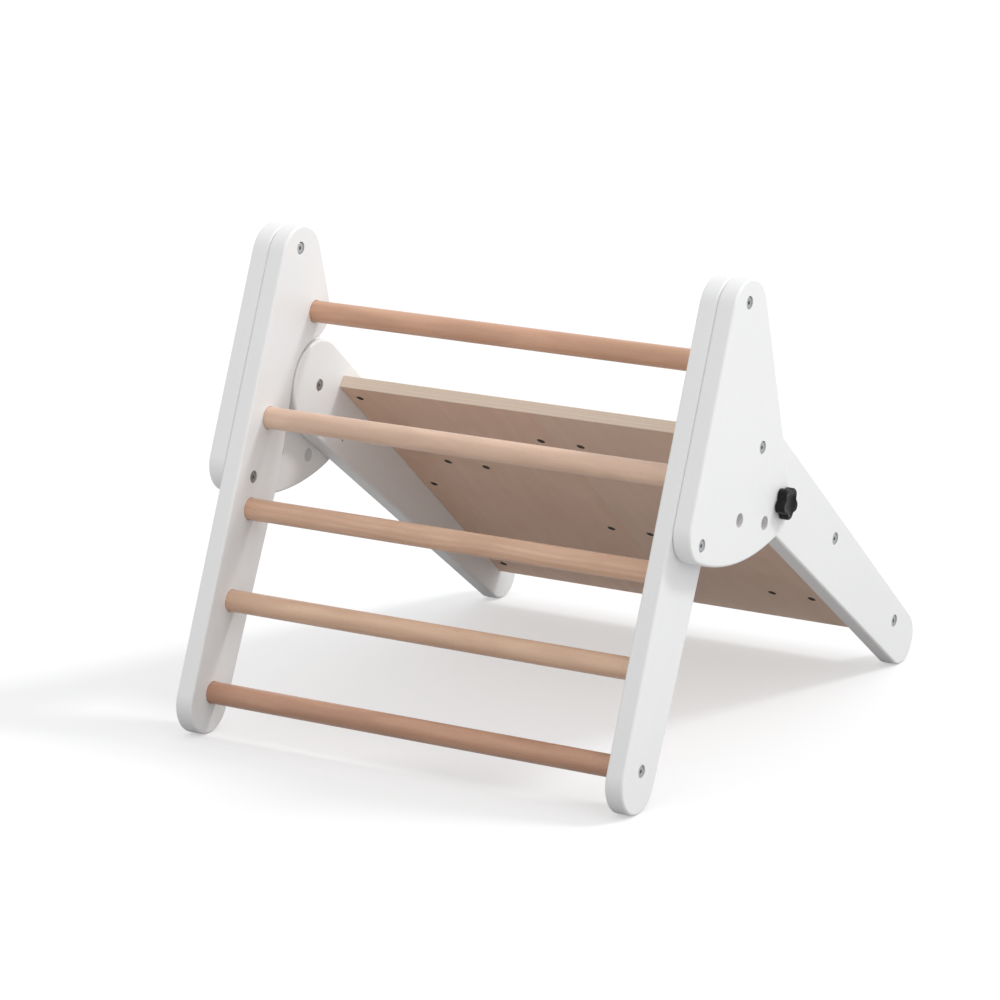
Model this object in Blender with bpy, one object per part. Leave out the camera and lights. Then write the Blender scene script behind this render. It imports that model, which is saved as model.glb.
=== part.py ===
"""Folding climbing triangle: a five rung ladder and a climbing board, hinged between two side plates.

Metres, +Z up. X runs across the ladder, the rungs face -Y, and the feet stand on Z = 0.
"""
import math

import bmesh
import bpy
from mathutils import Matrix, Vector

# Driving sizes of the frame
CLEAR = 0.0003              # gap between pieces that touch
INNER_WIDTH = 0.525         # between the two front legs
BOARD = 0.0215              # thickness of legs and side plates
EDGE_ROUND = 0.003          # round-over on every painted edge
CHORD_ERROR = 0.0003        # how far a facet may leave its true arc
RUNG_SIDES = 20             # facets round rungs and their sockets
BOLT_SIDES = 12             # facets round bolts, nuts and their holes
SCREW_SIDES = 10
LOCK_SIDES = 16
HOLD_SIDES = 20
LOBE_SIDES = 6              # facets round one lobe of a knob

# Front leg, measured up the leg from the centre of its round foot and back from its front edge
LEAN = math.radians(22.3)   # the front edge leans back from the vertical
FOOT_R = 0.037
TAPER = math.radians(2.45)  # the rear edge opens out going up
APEX = 0.5076               # height of the apex round
APEX_R = 0.0405
SHOULDER_R = 0.060          # eases the corner between the rear edge and the relief
RELIEF_GAP = 0.0035         # from the folded rear leg to the front leg
PIVOT_UP = 0.381
PIVOT_BACK = 0.130

# Rungs
RUNG_D = 0.025
RUNG_SOCKET = 0.012         # depth of the blind sockets
RUNG_CHAMFER = 0.001
FIRST_RUNG_UP = 0.011
RUNG_PITCH = 0.105
RUNG_BACK = 0.039
LADDER_RUNGS = 4
TOP_RUNG_UP = 0.4595
TOP_RUNG_BACK = 0.0895

# Side plate
TOP_BOLT_UP = 0.5205
LOW_BOLT_UP = 0.2565
BOLT_BACK = 0.0325
PLATE_SWEEP_R = 0.284       # bottom edge, swung from the top bolt
PLATE_CORNER_R = 0.034
LOCK_HOLE_R = 0.0078
LOCK_RIM = 0.0005           # rounded rim of the locking holes

# Rear leg
REAR_LEG = 0.5266           # pivot to the centre of the round foot
HEAD_R = 0.053
REAR_FOOT_R = 0.032

# Locking: studs on a circle round the pivot
LOCK_CIRCLE = 0.0867
LOCK_BELOW = math.radians(18.2)     # stud below the line from the pivot to the rear foot
FOLD_STOPS = (0.0, math.radians(28.9), math.radians(70.5))  # open, half open, folded

# Climbing board
PLY = 0.015
BOARD_TOP = 0.0375          # from the pivot down the slope
BOARD_LENGTH = 0.480
BOARD_DROP = 0.0188         # face of the board below the upper edge of the rear legs
BOARD_EDGE = 0.0008
BOARD_BOLTS = 3
BOARD_BOLT_MARGIN = 0.0255

# Climbing holds, in rows down the board, as shares of its length and of the clear width
HOLD_ROW_SHARES = (
    (0.151, (0.0,)), (0.351, (-0.32, 0.32)), (0.6094, (0.0,)), (0.8563, (-0.32, 0.32))
)
HOLD_WIDTH = 0.088
HOLD_DEPTH = 0.056
HOLD_HEIGHT = 0.020
HOLD_SCREWS = 0.052         # between the two screws of a hold

# Connector bolts and sleeve nuts
HEAD_D = 0.013
HEAD_THICK = 0.0033
HEAD_SINK = 0.001           # heads lie just below the painted face
HEAD_CHAMFER = 0.0005
SHANK_R = 0.003
SLEEVE_R = 0.0044
SLEEVE_WALL = 0.002         # under the head of a sleeve nut
SLEEVE_SHORT = 0.0045       # from the sleeve's end to the bolt's head
RUNG_SCREW_R = 0.0025
RUNG_SCREW_BITE = 0.028     # into the end grain
BOARD_BOLT_R = 0.0025
BOLT_IN_BOARD = 0.0217      # past the edge of the board, through the barrel nut
SCREW_R = 0.002
SCREW_HEAD_R = 0.004
SCREW_LENGTH = 0.025
SCREW_SINK = 0.0003         # countersunk heads lie just below the board's underside

# Barrel nuts in the board
BARREL_R = 0.004
BARREL_LENGTH = 0.012
BARREL_INSET = 0.0155       # centre of the nut from the edge of the board

# Star knob and its stud
KNOB_R = 0.0175
KNOB_HEIGHT = 0.011
KNOB_LOBES = 6
LOBE_DEPTH = 0.0036
STUD_R = 0.004
STUD_SOCKET = 0.0075        # depth of the stud in the knob
COLLAR = 0.016              # length of the stud's collar, which fills a locking hole

# Planes across the frame, and the side view
INNER = INNER_WIDTH / 2
SEAM = INNER + BOARD                    # outer face of the legs
PLATE_IN = SEAM + CLEAR
PLATE_OUT = PLATE_IN + BOARD
RELIEF_R = HEAD_R + RELIEF_GAP
BORE_R = SLEEVE_R + CLEAR
COUNTERBORE_R = HEAD_D / 2 + CLEAR + 0.0004
COUNTERBORE = HEAD_SINK + HEAD_THICK + CLEAR

PIVOT = Vector((PIVOT_BACK, PIVOT_UP))
TOP_BOLT = Vector((BOLT_BACK, TOP_BOLT_UP))
LOW_BOLT = Vector((BOLT_BACK, LOW_BOLT_UP))
TOP_RUNG = Vector((TOP_RUNG_BACK, TOP_RUNG_UP))
RUNGS = [TOP_RUNG] + [
    Vector((RUNG_BACK, FIRST_RUNG_UP + RUNG_PITCH * step)) for step in reversed(range(LADDER_RUNGS))
]
APEX_C = Vector((APEX_R, APEX))
FOOT_C = Vector((FOOT_R, 0.0))

SIDES = {"left": -1, "right": 1}
LABELS = {side: label for label, side in SIDES.items()}


# Side view geometry

def polar(centre, radius, angle):
    """Point at an angle on a circle."""
    return Vector(centre) + radius * Vector((math.cos(angle), math.sin(angle)))


def heading(vector):
    """Angle of a plane vector."""
    return math.atan2(vector[1], vector[0])


def arc(centre, radius, start, end):
    """Points along an arc, anticlockwise when end is past start."""
    step = 2 * math.acos(1 - CHORD_ERROR / radius)
    count = max(2, math.ceil(abs(end - start) / step))
    return [polar(centre, radius, start + (end - start) * i / count) for i in range(count + 1)]


def foot_arc(centre, radius, start, ground, end):
    """Arc of a round foot with one point of the outline exactly on the ground."""
    return arc(centre, radius, start, ground)[:-1] + arc(centre, radius, ground, end)


def tangent_normal(first, first_r, second, second_r):
    """Angle from each centre to the line that touches both circles on their right hand side."""
    between = Vector(second) - Vector(first)
    return heading(between) - math.acos((first_r - second_r) / between.length)


def crossing(point, direction, other, other_direction):
    """Where two lines of the side view cross."""
    gap = Vector(other) - Vector(point)
    area = direction[0] * other_direction[1] - direction[1] * other_direction[0]
    return Vector(point) + Vector(direction) * (
        (gap[0] * other_direction[1] - gap[1] * other_direction[0]) / area
    )


def rounded_corner(corner, normal_in, normal_out, radius):
    """Arc that eases a convex corner between edges with the two outward normals."""
    half = (normal_out - normal_in) / 2
    centre = polar(corner, -radius / math.cos(half), normal_in + half)
    return arc(centre, radius, normal_in, normal_out)


# Rear leg in its own view: along the climbing board from the pivot, and square to it
REAR_FOOT = Vector((math.sqrt(REAR_LEG**2 - (HEAD_R - REAR_FOOT_R) ** 2), HEAD_R - REAR_FOOT_R))
REAR_AXIS = heading(REAR_FOOT)
BOARD_FACE = HEAD_R - BOARD_DROP
BOARD_MID = BOARD_FACE - PLY / 2
BOARD_UNDER = BOARD_FACE - PLY
STUD = polar((0, 0), LOCK_CIRCLE, REAR_AXIS - LOCK_BELOW)
BOLT_PITCH = (BOARD_LENGTH - 2 * BOARD_BOLT_MARGIN) / (BOARD_BOLTS - 1)
BOARD_BOLT_PLACES = [
    Vector((BOARD_TOP + BOARD_BOLT_MARGIN + BOLT_PITCH * i, BOARD_MID)) for i in range(BOARD_BOLTS)
]

# Where the two views stand in the world
PIVOT_RISE = FOOT_R + PIVOT_UP * math.cos(LEAN) - (PIVOT_BACK - FOOT_R) * math.sin(LEAN)
PIVOT_RUN = PIVOT_UP * math.sin(LEAN) + (PIVOT_BACK - FOOT_R) * math.cos(LEAN)
REAR_DIP = math.asin((PIVOT_RISE - REAR_FOOT_R) / REAR_LEG)
REAR_RUN = REAR_LEG * math.cos(REAR_DIP)
FRONT_FOOT_Y = -(PIVOT_RUN + REAR_RUN + REAR_FOOT_R - FOOT_R) / 2
PIVOT_Y = FRONT_FOOT_Y + PIVOT_RUN
SLOPE = REAR_DIP + REAR_AXIS            # fall of the board from the horizontal


def rear_in_ladder_view(angle, fold):
    """Turn an angle of the rear leg's view into the ladder's view at a fold."""
    return angle - SLOPE + LEAN - fold


def front_leg_outline():
    """Round foot, tapered rear edge, relief for the folded rear leg, lobe round the top rung, apex."""
    rear_normal = -TAPER
    lower_normal = REAR_AXIS - math.acos((HEAD_R - REAR_FOOT_R) / REAR_LEG)
    relief_normal = rear_in_ladder_view(lower_normal, FOLD_STOPS[-1])
    rear_point = polar(FOOT_C, FOOT_R, rear_normal)
    rear_direction = Vector((math.sin(TAPER), math.cos(TAPER)))
    relief_point = polar(PIVOT, RELIEF_R, relief_normal)
    relief_direction = Vector((-math.sin(relief_normal), math.cos(relief_normal)))
    shoulder = crossing(rear_point, rear_direction, relief_point, relief_direction)
    to_rung = heading(TOP_RUNG - PIVOT)
    lobe_r = (TOP_RUNG - PIVOT).length - RELIEF_R
    plate_normal = tangent_normal(TOP_RUNG, lobe_r, APEX_C, APEX_R)
    return (
        foot_arc(FOOT_C, FOOT_R, math.pi, 1.5 * math.pi + LEAN, 2 * math.pi + rear_normal)
        + rounded_corner(shoulder, rear_normal, relief_normal + math.pi, SHOULDER_R)
        + arc(PIVOT, RELIEF_R, relief_normal + 2 * math.pi, to_rung)
        + arc(TOP_RUNG, lobe_r, to_rung - math.pi, plate_normal)[1:]
        + arc(APEX_C, APEX_R, plate_normal, math.pi)
    )


def plate_outline():
    """Sector shaped side plate: straight front and rear edges, bottom edge swung from the top bolt."""
    lobe_r = (TOP_RUNG - PIVOT).length - RELIEF_R
    normal = tangent_normal(TOP_RUNG, lobe_r, APEX_C, APEX_R)
    reach = PLATE_SWEEP_R - PLATE_CORNER_R
    front = Vector((PLATE_CORNER_R, TOP_BOLT_UP - math.sqrt(reach**2 - (PLATE_CORNER_R - BOLT_BACK) ** 2)))
    start = polar(APEX_C, APEX_R - PLATE_CORNER_R, normal)
    down = Vector((math.sin(normal), -math.cos(normal)))
    offset = start - TOP_BOLT
    along = -offset.dot(down)
    rear = start + down * (along + math.sqrt(along**2 - offset.length_squared + reach**2))
    front_turn = heading(front - TOP_BOLT)
    rear_turn = heading(rear - TOP_BOLT)
    return (
        arc(front, PLATE_CORNER_R, -math.pi, front_turn)
        + arc(TOP_BOLT, PLATE_SWEEP_R, front_turn, rear_turn)[1:-1]
        + arc(rear, PLATE_CORNER_R, rear_turn, normal)
        + arc(APEX_C, APEX_R, normal, math.pi)
    )


def rear_leg_outline():
    """Tapered leg: a large round head about the pivot and a smaller round foot."""
    lower = tangent_normal((0, 0), HEAD_R, REAR_FOOT, REAR_FOOT_R)
    upper = math.pi / 2
    foot = foot_arc(REAR_FOOT, REAR_FOOT_R, lower, SLOPE - math.pi / 2, upper)
    return foot + arc((0, 0), HEAD_R, upper, lower + 2 * math.pi)


# Blender helpers

def material(name, colour, roughness, metallic=0.0):
    """Principled material of one piece."""
    made = bpy.data.materials.new(name)
    made.use_nodes = True
    shader = made.node_tree.nodes["Principled BSDF"]
    shader.inputs["Base Color"].default_value = (*colour, 1.0)
    shader.inputs["Roughness"].default_value = roughness
    shader.inputs["Metallic"].default_value = metallic
    return made


def frame_empty(name, location, turn):
    """Empty whose Y and Z axes are the axes of a side view."""
    empty = bpy.data.objects.new(name, None)
    bpy.context.collection.objects.link(empty)
    empty.location = location
    empty.rotation_euler = (turn, 0, 0)
    return empty


def mesh_from(shape, name):
    """Finish a bmesh as smooth shaded mesh data with its faces pointing out."""
    bmesh.ops.recalc_face_normals(shape, faces=shape.faces)
    mesh = bpy.data.meshes.new(name)
    shape.to_mesh(mesh)
    shape.free()
    shade(mesh)
    return mesh


def shade(mesh):
    """Smooth shading with sharp edges where faces turn by more than a round-over step."""
    mesh.shade_smooth()
    mesh.set_sharp_from_angle(angle=math.radians(35))


def place(name, mesh, finish, parent, location=(0, 0, 0), rotation=(0, 0, 0)):
    """Object that shows a mesh with a finish."""
    piece = bpy.data.objects.new(name, mesh)
    bpy.context.collection.objects.link(piece)
    if finish and not mesh.materials:
        mesh.materials.append(finish)
    piece.parent = parent
    piece.location = location
    piece.rotation_euler = rotation
    return piece


def round_radius(radius):
    """Ring shape of a turned piece."""
    return lambda angle: radius


def lobed_radius(radius, depth):
    """Ring shape of a star knob: round lobes with softer hollows between them."""
    def shape(angle):
        wave = 0.5 - 0.5 * math.cos(KNOB_LOBES * angle)
        return radius - depth * wave**1.5
    return shape


def lathe(shape, rings, segments, matrix=None):
    """Add a closed body made of rings (position along X, radius or ring shape) to a bmesh."""
    loops = []
    for place_x, radius in rings:
        outline = radius if callable(radius) else round_radius(radius)
        loop = []
        for i in range(segments):
            angle = 2 * math.pi * i / segments
            reach = outline(angle)
            point = Vector((place_x, reach * math.cos(angle), reach * math.sin(angle)))
            loop.append(shape.verts.new(matrix @ point if matrix else point))
        loops.append(loop)
    for before, after in zip(loops, loops[1:]):
        for i in range(segments):
            j = (i + 1) % segments
            shape.faces.new((before[i], before[j], after[j], after[i]))
    shape.faces.new(loops[0])
    shape.faces.new(loops[-1])


def turned_mesh(name, rings, segments=BOLT_SIDES):
    """Mesh of one turned piece on the X axis."""
    shape = bmesh.new()
    lathe(shape, rings, segments)
    return mesh_from(shape, name)


def mirrored(rings, side):
    """Rings for the left or right side."""
    return [(side * x, radius) for x, radius in rings]


def side_board(name, outline, x_low, x_high):
    """Board cut to an outline of the side view, with its edges rounded over on both faces."""
    shape = bmesh.new()
    base = shape.faces.new([shape.verts.new((x_low, y, z)) for y, z in outline])
    grown = bmesh.ops.extrude_face_region(shape, geom=[base])
    moved = [item for item in grown["geom"] if isinstance(item, bmesh.types.BMVert)]
    bmesh.ops.translate(shape, verts=moved, vec=(x_high - x_low, 0, 0))
    shape.normal_update()
    rims = [edge for edge in shape.edges if abs(edge.verts[0].co.x - edge.verts[1].co.x) < CLEAR]
    bmesh.ops.bevel(shape, geom=rims, offset=EDGE_ROUND, segments=2, profile=0.5, affect="EDGES")
    return mesh_from(shape, name)


def carve(mesh, bodies):
    """Mesh of a piece with turned bodies cut out of it."""
    shape = bmesh.new()
    for add in bodies:
        add(shape)
    piece = place("piece", mesh, None, None)
    cutter = place("cutter", mesh_from(shape, "cutter"), None, None)
    boolean = piece.modifiers.new("cut", "BOOLEAN")
    boolean.operation = "DIFFERENCE"
    boolean.solver = "EXACT"
    boolean.object = cutter
    bpy.context.view_layer.update()
    evaluated = piece.evaluated_get(bpy.context.evaluated_depsgraph_get())
    carved = bpy.data.meshes.new_from_object(evaluated)
    carved.name = mesh.name
    bpy.data.objects.remove(piece, do_unlink=True)
    bpy.data.objects.remove(cutter, do_unlink=True)
    shade(carved)
    return carved


def bore(at, x_from, x_to, radius, segments=BOLT_SIDES):
    """Straight hole along X at a point of the side view."""
    matrix = Matrix.Translation((0, at[0], at[1]))
    return lambda shape: lathe(shape, [(x_from, radius), (x_to, radius)], segments, matrix)


def turned_hole(at, rings, segments=BOLT_SIDES):
    """Hole along X with steps, countersinks or rounded rims."""
    matrix = Matrix.Translation((0, at[0], at[1]))
    return lambda shape: lathe(shape, rings, segments, matrix)


def rim_rings(face, outward, radius, rim):
    """Rings that flare a hole into its face with a quarter round."""
    steps = [math.radians(turn) for turn in (45, 90)]
    slope = math.sin(steps[0]) / (1 - math.cos(steps[0]))
    rings = [(face + outward * CLEAR, radius + rim + CLEAR * slope)]
    for turn in steps:
        depth = rim * (1 - math.cos(turn))
        rings.append((face - outward * depth, radius + rim * (1 - math.sin(turn))))
    return rings


# Finishes

def finishes():
    """Finish of each kind of piece."""
    return {
        "paint": material("white_paint", (0.86, 0.86, 0.85), 0.42),
        "beech": material("beech", (0.72, 0.50, 0.34), 0.50),
        "ply": material("birch_plywood", (0.74, 0.58, 0.42), 0.55),
        "zinc": material("zinc_steel", (0.62, 0.63, 0.64), 0.32, 1.0),
        "plastic": material("black_plastic", (0.02, 0.02, 0.02), 0.38),
    }


# Ladder

def head_recess(side, face, outward, deep):
    """Rings of a counterbore for a bolt head, from its open face down to the bolt's own bore."""
    inward = -outward
    return [
        (side * (face + outward * CLEAR), COUNTERBORE_R),
        (side * (face + inward * COUNTERBORE), COUNTERBORE_R),
        (side * (face + inward * COUNTERBORE), deep),
    ]


def front_leg(label, side, finish, ladder):
    """White leg of the ladder with its rung sockets and bolt holes."""
    low, high = sorted((side * INNER, side * SEAM))
    socket_end = side * (INNER + RUNG_SOCKET)
    socket_r = RUNG_D / 2 + CLEAR
    mouth = side * (INNER - CLEAR)
    holes = [bore(at, mouth, socket_end, socket_r, RUNG_SIDES) for at in RUNGS[:-1]]
    screw_r = RUNG_SCREW_R + CLEAR
    screw = head_recess(side, SEAM, 1, screw_r)
    screw += [(socket_end, screw_r), (socket_end, socket_r), (mouth, socket_r)]
    holes.append(turned_hole(RUNGS[-1], screw, RUNG_SIDES))
    for at in (TOP_BOLT, LOW_BOLT):
        rings = head_recess(side, INNER, -1, BORE_R) + [(side * (SEAM + CLEAR), BORE_R)]
        holes.append(turned_hole(at, rings))
    mesh = carve(side_board("front_leg", front_leg_outline(), low, high), holes)
    place(f"front_leg_{label}", mesh, finish, ladder)


def side_plate(label, side, finish, ladder):
    """Sector plate bolted to the outside of the leg, carrying the pivot and the locking holes."""
    low, high = sorted((side * PLATE_IN, side * PLATE_OUT))
    holes = []
    for at in (TOP_BOLT, LOW_BOLT, PIVOT):
        rings = head_recess(side, PLATE_OUT, 1, BORE_R) + [(side * (PLATE_IN - CLEAR), BORE_R)]
        holes.append(turned_hole(at, rings))
    for fold in FOLD_STOPS:
        angle = rear_in_ladder_view(heading(STUD), fold)
        rings = rim_rings(PLATE_OUT, 1, LOCK_HOLE_R, LOCK_RIM)
        rings += reversed(rim_rings(PLATE_IN, -1, LOCK_HOLE_R, LOCK_RIM))
        holes.append(turned_hole(polar(PIVOT, LOCK_CIRCLE, angle), mirrored(rings, side), LOCK_SIDES))
    mesh = carve(side_board("side_plate", plate_outline(), low, high), holes)
    place(f"side_plate_{label}", mesh, finish, ladder)


def rungs(finish, ladder):
    """Round rungs in blind sockets. The lowest is drilled for its end screws."""
    end = INNER + RUNG_SOCKET - CLEAR
    radius = RUNG_D / 2
    body = [(-end, radius - RUNG_CHAMFER), (-end + RUNG_CHAMFER, radius)]
    body += [(end - RUNG_CHAMFER, radius), (end, radius - RUNG_CHAMFER)]
    pilot_end = end - RUNG_SCREW_BITE - CLEAR
    pilot = RUNG_SCREW_R + CLEAR
    drilled = [(-pilot_end, pilot), (-end, pilot)] + body + [(end, pilot), (pilot_end, pilot)]
    plain = turned_mesh("rung", body, RUNG_SIDES)
    screwed = turned_mesh("screwed_rung", drilled, RUNG_SIDES)
    for number, at in enumerate(RUNGS, start=1):
        mesh = screwed if number == len(RUNGS) else plain
        place(f"rung_{number}", mesh, finish, ladder, (0, at[0], at[1]))


def headed_rings(length, shank):
    """Rings of a flat headed bolt from its tip to its head. The head's underside is at X = 0."""
    return [
        (-length, shank),
        (0.0, shank),
        (0.0, HEAD_D / 2),
        (HEAD_THICK - HEAD_CHAMFER, HEAD_D / 2),
        (HEAD_THICK, HEAD_D / 2 - HEAD_CHAMFER),
    ]


def connector_meshes():
    """Bolt and sleeve nut that hold a plate to a leg."""
    grip = PLATE_OUT - INNER - 2 * (HEAD_SINK + HEAD_THICK)
    sleeve = grip - SLEEVE_SHORT
    thread_r = SHANK_R + CLEAR
    nut = [(-SLEEVE_WALL, thread_r), (-sleeve, thread_r), (-sleeve, SLEEVE_R)]
    nut += headed_rings(sleeve, SLEEVE_R)[1:]
    return {
        "bolt": turned_mesh("connector_bolt", headed_rings(grip - SLEEVE_WALL - CLEAR, SHANK_R)),
        "nut": turned_mesh("sleeve_nut", nut),
    }


def facing(side):
    """Turn that makes a piece's X axis point out of the frame on this side."""
    return (0, 0, 0 if side > 0 else math.pi)


def connector(name, at, side, finish, parent, meshes):
    """Bolt from the plate's outer face and sleeve nut from the inner face, through both boards."""
    bolt_x = side * (PLATE_OUT - HEAD_SINK - HEAD_THICK)
    nut_x = side * (INNER + HEAD_SINK + HEAD_THICK)
    place(f"{name}_bolt_{LABELS[side]}", meshes["bolt"], finish, parent, (bolt_x, *at), facing(side))
    place(f"{name}_nut_{LABELS[side]}", meshes["nut"], finish, parent, (nut_x, *at), facing(-side))


def rung_screws(finish, ladder):
    """Screws through the outer faces of the legs into the ends of the lowest rung."""
    length = BOARD - RUNG_SOCKET - HEAD_SINK - HEAD_THICK + RUNG_SCREW_BITE
    mesh = turned_mesh("rung_screw", headed_rings(length, RUNG_SCREW_R))
    for label, side in SIDES.items():
        at = (side * (SEAM - HEAD_SINK - HEAD_THICK), *RUNGS[-1])
        place(f"rung_screw_{label}", mesh, finish, ladder, at, facing(side))


# Knobs

def knob_meshes():
    """Star knob with a dished face and a blind hole for its stud, and the stud with its collar."""
    collar_r = LOCK_HOLE_R - 2 * CLEAR
    full = lobed_radius(KNOB_R, LOBE_DEPTH)
    eased = lobed_radius(KNOB_R - 0.0008, LOBE_DEPTH)
    rim = lobed_radius(KNOB_R - 0.0026, LOBE_DEPTH * 0.9)
    knob = [
        (STUD_SOCKET, STUD_R + CLEAR),
        (0.0, STUD_R + CLEAR),
        (0.0, lobed_radius(KNOB_R - 0.0022, LOBE_DEPTH)),
        (0.0012, full),
        (KNOB_HEIGHT - 0.0024, full),
        (KNOB_HEIGHT - 0.0008, eased),
        (KNOB_HEIGHT, rim),
        (KNOB_HEIGHT - 0.0016, KNOB_R * 0.45),
    ]
    stud = [
        (-BOARD, STUD_R - HEAD_CHAMFER),
        (-BOARD + HEAD_CHAMFER, STUD_R),
        (-COLLAR, STUD_R),
        (-COLLAR, collar_r),
        (-CLEAR, collar_r),
        (-CLEAR, STUD_R),
        (STUD_SOCKET - CLEAR, STUD_R),
    ]
    sides = KNOB_LOBES * LOBE_SIDES
    return {"knob": turned_mesh("star_knob", knob, sides), "stud": turned_mesh("knob_stud", stud)}


def knobs(plastic, zinc):
    """Star knobs that clamp the plates at the open position."""
    meshes = knob_meshes()
    at = polar((PIVOT_Y, PIVOT_RISE), LOCK_CIRCLE, heading(STUD) - SLOPE)
    for label, side in SIDES.items():
        location = (side * (PLATE_OUT + CLEAR), *at)
        place(f"knob_stud_{label}", meshes["stud"], zinc, None, location, facing(side))
        place(f"star_knob_{label}", meshes["knob"], plastic, None, location, facing(side))


# Rear frame

def rear_leg(label, side, finish, rear):
    """White rear leg with its pivot bore, the hole for the stud and three bolt holes for the board."""
    low, high = sorted((side * INNER, side * SEAM))
    bolt_r = BOARD_BOLT_R + CLEAR
    pivot = head_recess(side, INNER, -1, BORE_R) + [(side * (SEAM + CLEAR), BORE_R)]
    holes = [
        turned_hole((0, 0), pivot),
        bore(STUD, side * (INNER - CLEAR), side * (SEAM + CLEAR), STUD_R + CLEAR),
    ]
    for at in BOARD_BOLT_PLACES:
        rings = head_recess(side, SEAM, 1, bolt_r) + [(side * (INNER - CLEAR), bolt_r)]
        holes.append(turned_hole(at, rings))
    mesh = carve(side_board("rear_leg", rear_leg_outline(), low, high), holes)
    place(f"rear_leg_{label}", mesh, finish, rear)


def hold_places():
    """Centre of each climbing hold: across, and along the board's slope."""
    return [
        (across * INNER_WIDTH, BOARD_TOP + down * BOARD_LENGTH)
        for down, offsets in HOLD_ROW_SHARES for across in offsets
    ]


def screw_places():
    """Hold screws: across, and along the board's slope."""
    return [
        (x + side * HOLD_SCREWS / 2, along) for x, along in hold_places() for side in (-1, 1)
    ]


def upright(x, along, height=0.0):
    """Stand a turned shape on the board: its X axis becomes the board's normal."""
    return Matrix.Translation((x, along, height)) @ Matrix.Rotation(-math.pi / 2, 4, "Y")


def board_hole(x, along, rings, segments=BOLT_SIDES):
    """Hole square to the board, with its rings measured along the normal."""
    return lambda shape: lathe(shape, rings, segments, upright(x, along))


def climbing_board(finish, rear):
    """Plywood board between the rear legs, drilled for its bolts, barrel nuts and hold screws."""
    half = INNER - CLEAR
    shape = bmesh.new()
    box = Matrix.Translation((0, BOARD_TOP + BOARD_LENGTH / 2, BOARD_MID))
    bmesh.ops.create_cube(shape, size=1, matrix=box @ Matrix.Diagonal((2 * half, BOARD_LENGTH, PLY, 1)))
    bmesh.ops.bevel(shape, geom=shape.edges[:], offset=BOARD_EDGE, segments=1, affect="EDGES")
    across = []
    upwards = []
    nut_r = BARREL_R + CLEAR
    for side in SIDES.values():
        for at in BOARD_BOLT_PLACES:
            tip = side * (half - BOLT_IN_BOARD - CLEAR)
            across.append(bore(at, tip, side * (half + CLEAR), BOARD_BOLT_R + CLEAR))
            nut = [(BOARD_UNDER - CLEAR, nut_r), (BOARD_UNDER + BARREL_LENGTH + 2 * CLEAR, nut_r)]
            upwards.append(board_hole(side * (half - BARREL_INSET), at[0], nut))
    narrow = SCREW_R + CLEAR
    sink = SCREW_SINK + SCREW_HEAD_R - SCREW_R + CLEAR / 2
    rings = [(BOARD_UNDER - CLEAR, narrow + sink + CLEAR), (BOARD_UNDER + sink, narrow)]
    rings.append((BOARD_FACE + CLEAR, narrow))
    for x, along in screw_places():
        upwards.append(board_hole(x, along, rings, SCREW_SIDES))
    mesh = carve(carve(mesh_from(shape, "climbing_board"), across), upwards)
    place("climbing_board", mesh, finish, rear)


def board_bolts(finish, rear):
    """Bolts through the rear legs into barrel nuts in the board."""
    length = BOARD - HEAD_SINK - HEAD_THICK + CLEAR + BOLT_IN_BOARD
    mesh = turned_mesh("board_bolt", headed_rings(length, BOARD_BOLT_R))
    for label, side in SIDES.items():
        x = side * (SEAM - HEAD_SINK - HEAD_THICK)
        for number, at in enumerate(BOARD_BOLT_PLACES, start=1):
            place(f"board_bolt_{label}_{number}", mesh, finish, rear, (x, *at), facing(side))


def barrel_nuts(finish, rear):
    """Cross drilled barrel nuts, pushed into the board from below."""
    middle = BARREL_LENGTH / 2
    height = BOARD_UNDER + CLEAR + middle
    shape = bmesh.new()
    lathe(shape, [(-middle, BARREL_R), (middle, BARREL_R)], BOLT_SIDES, upright(0, 0))
    hole = bore((0, BOARD_MID - height), -BARREL_R - CLEAR, BARREL_R + CLEAR, BOARD_BOLT_R + CLEAR)
    mesh = carve(mesh_from(shape, "barrel_nut"), [hole])
    for label, side in SIDES.items():
        x = side * (INNER - CLEAR - BARREL_INSET)
        for number, at in enumerate(BOARD_BOLT_PLACES, start=1):
            place(f"board_nut_{label}_{number}", mesh, finish, rear, (x, at[0], height))


def hold_mesh():
    """Low oval hold with a domed top, drilled from below for two screws."""
    shape = bmesh.new()
    profile = [(0.0, 0.96), (0.12, 1.0), (0.52, 0.92), (0.86, 0.62), (1.0, 0.2)]
    lathe(shape, profile, HOLD_SIDES, upright(0, 0))
    bmesh.ops.scale(shape, vec=(HOLD_WIDTH / 2, HOLD_DEPTH / 2, HOLD_HEIGHT), verts=shape.verts)
    narrow = SCREW_R + CLEAR
    drill = [(-CLEAR, narrow), (SCREW_SINK + SCREW_LENGTH - PLY, narrow)]
    holes = [board_hole(dx, 0, drill, SCREW_SIDES) for dx in (-HOLD_SCREWS / 2, HOLD_SCREWS / 2)]
    return carve(mesh_from(shape, "climbing_hold"), holes)


def holds(beech, zinc, rear):
    """Climbing holds on the board's upper face with their screws from below."""
    hold = hold_mesh()
    screw = turned_mesh("hold_screw", [
        (0.0, SCREW_HEAD_R),
        (SCREW_HEAD_R - SCREW_R, SCREW_R),
        (SCREW_LENGTH, SCREW_R),
    ], SCREW_SIDES)
    for number, (x, along) in enumerate(hold_places(), start=1):
        place(f"climbing_hold_{number}", hold, beech, rear, (x, along, BOARD_FACE + CLEAR))
    for number, (x, along) in enumerate(screw_places(), start=1):
        at = (x, along, BOARD_UNDER + SCREW_SINK)
        place(f"hold_screw_{number}", screw, zinc, rear, at, (0, -math.pi / 2, 0))


# Whole object

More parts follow.
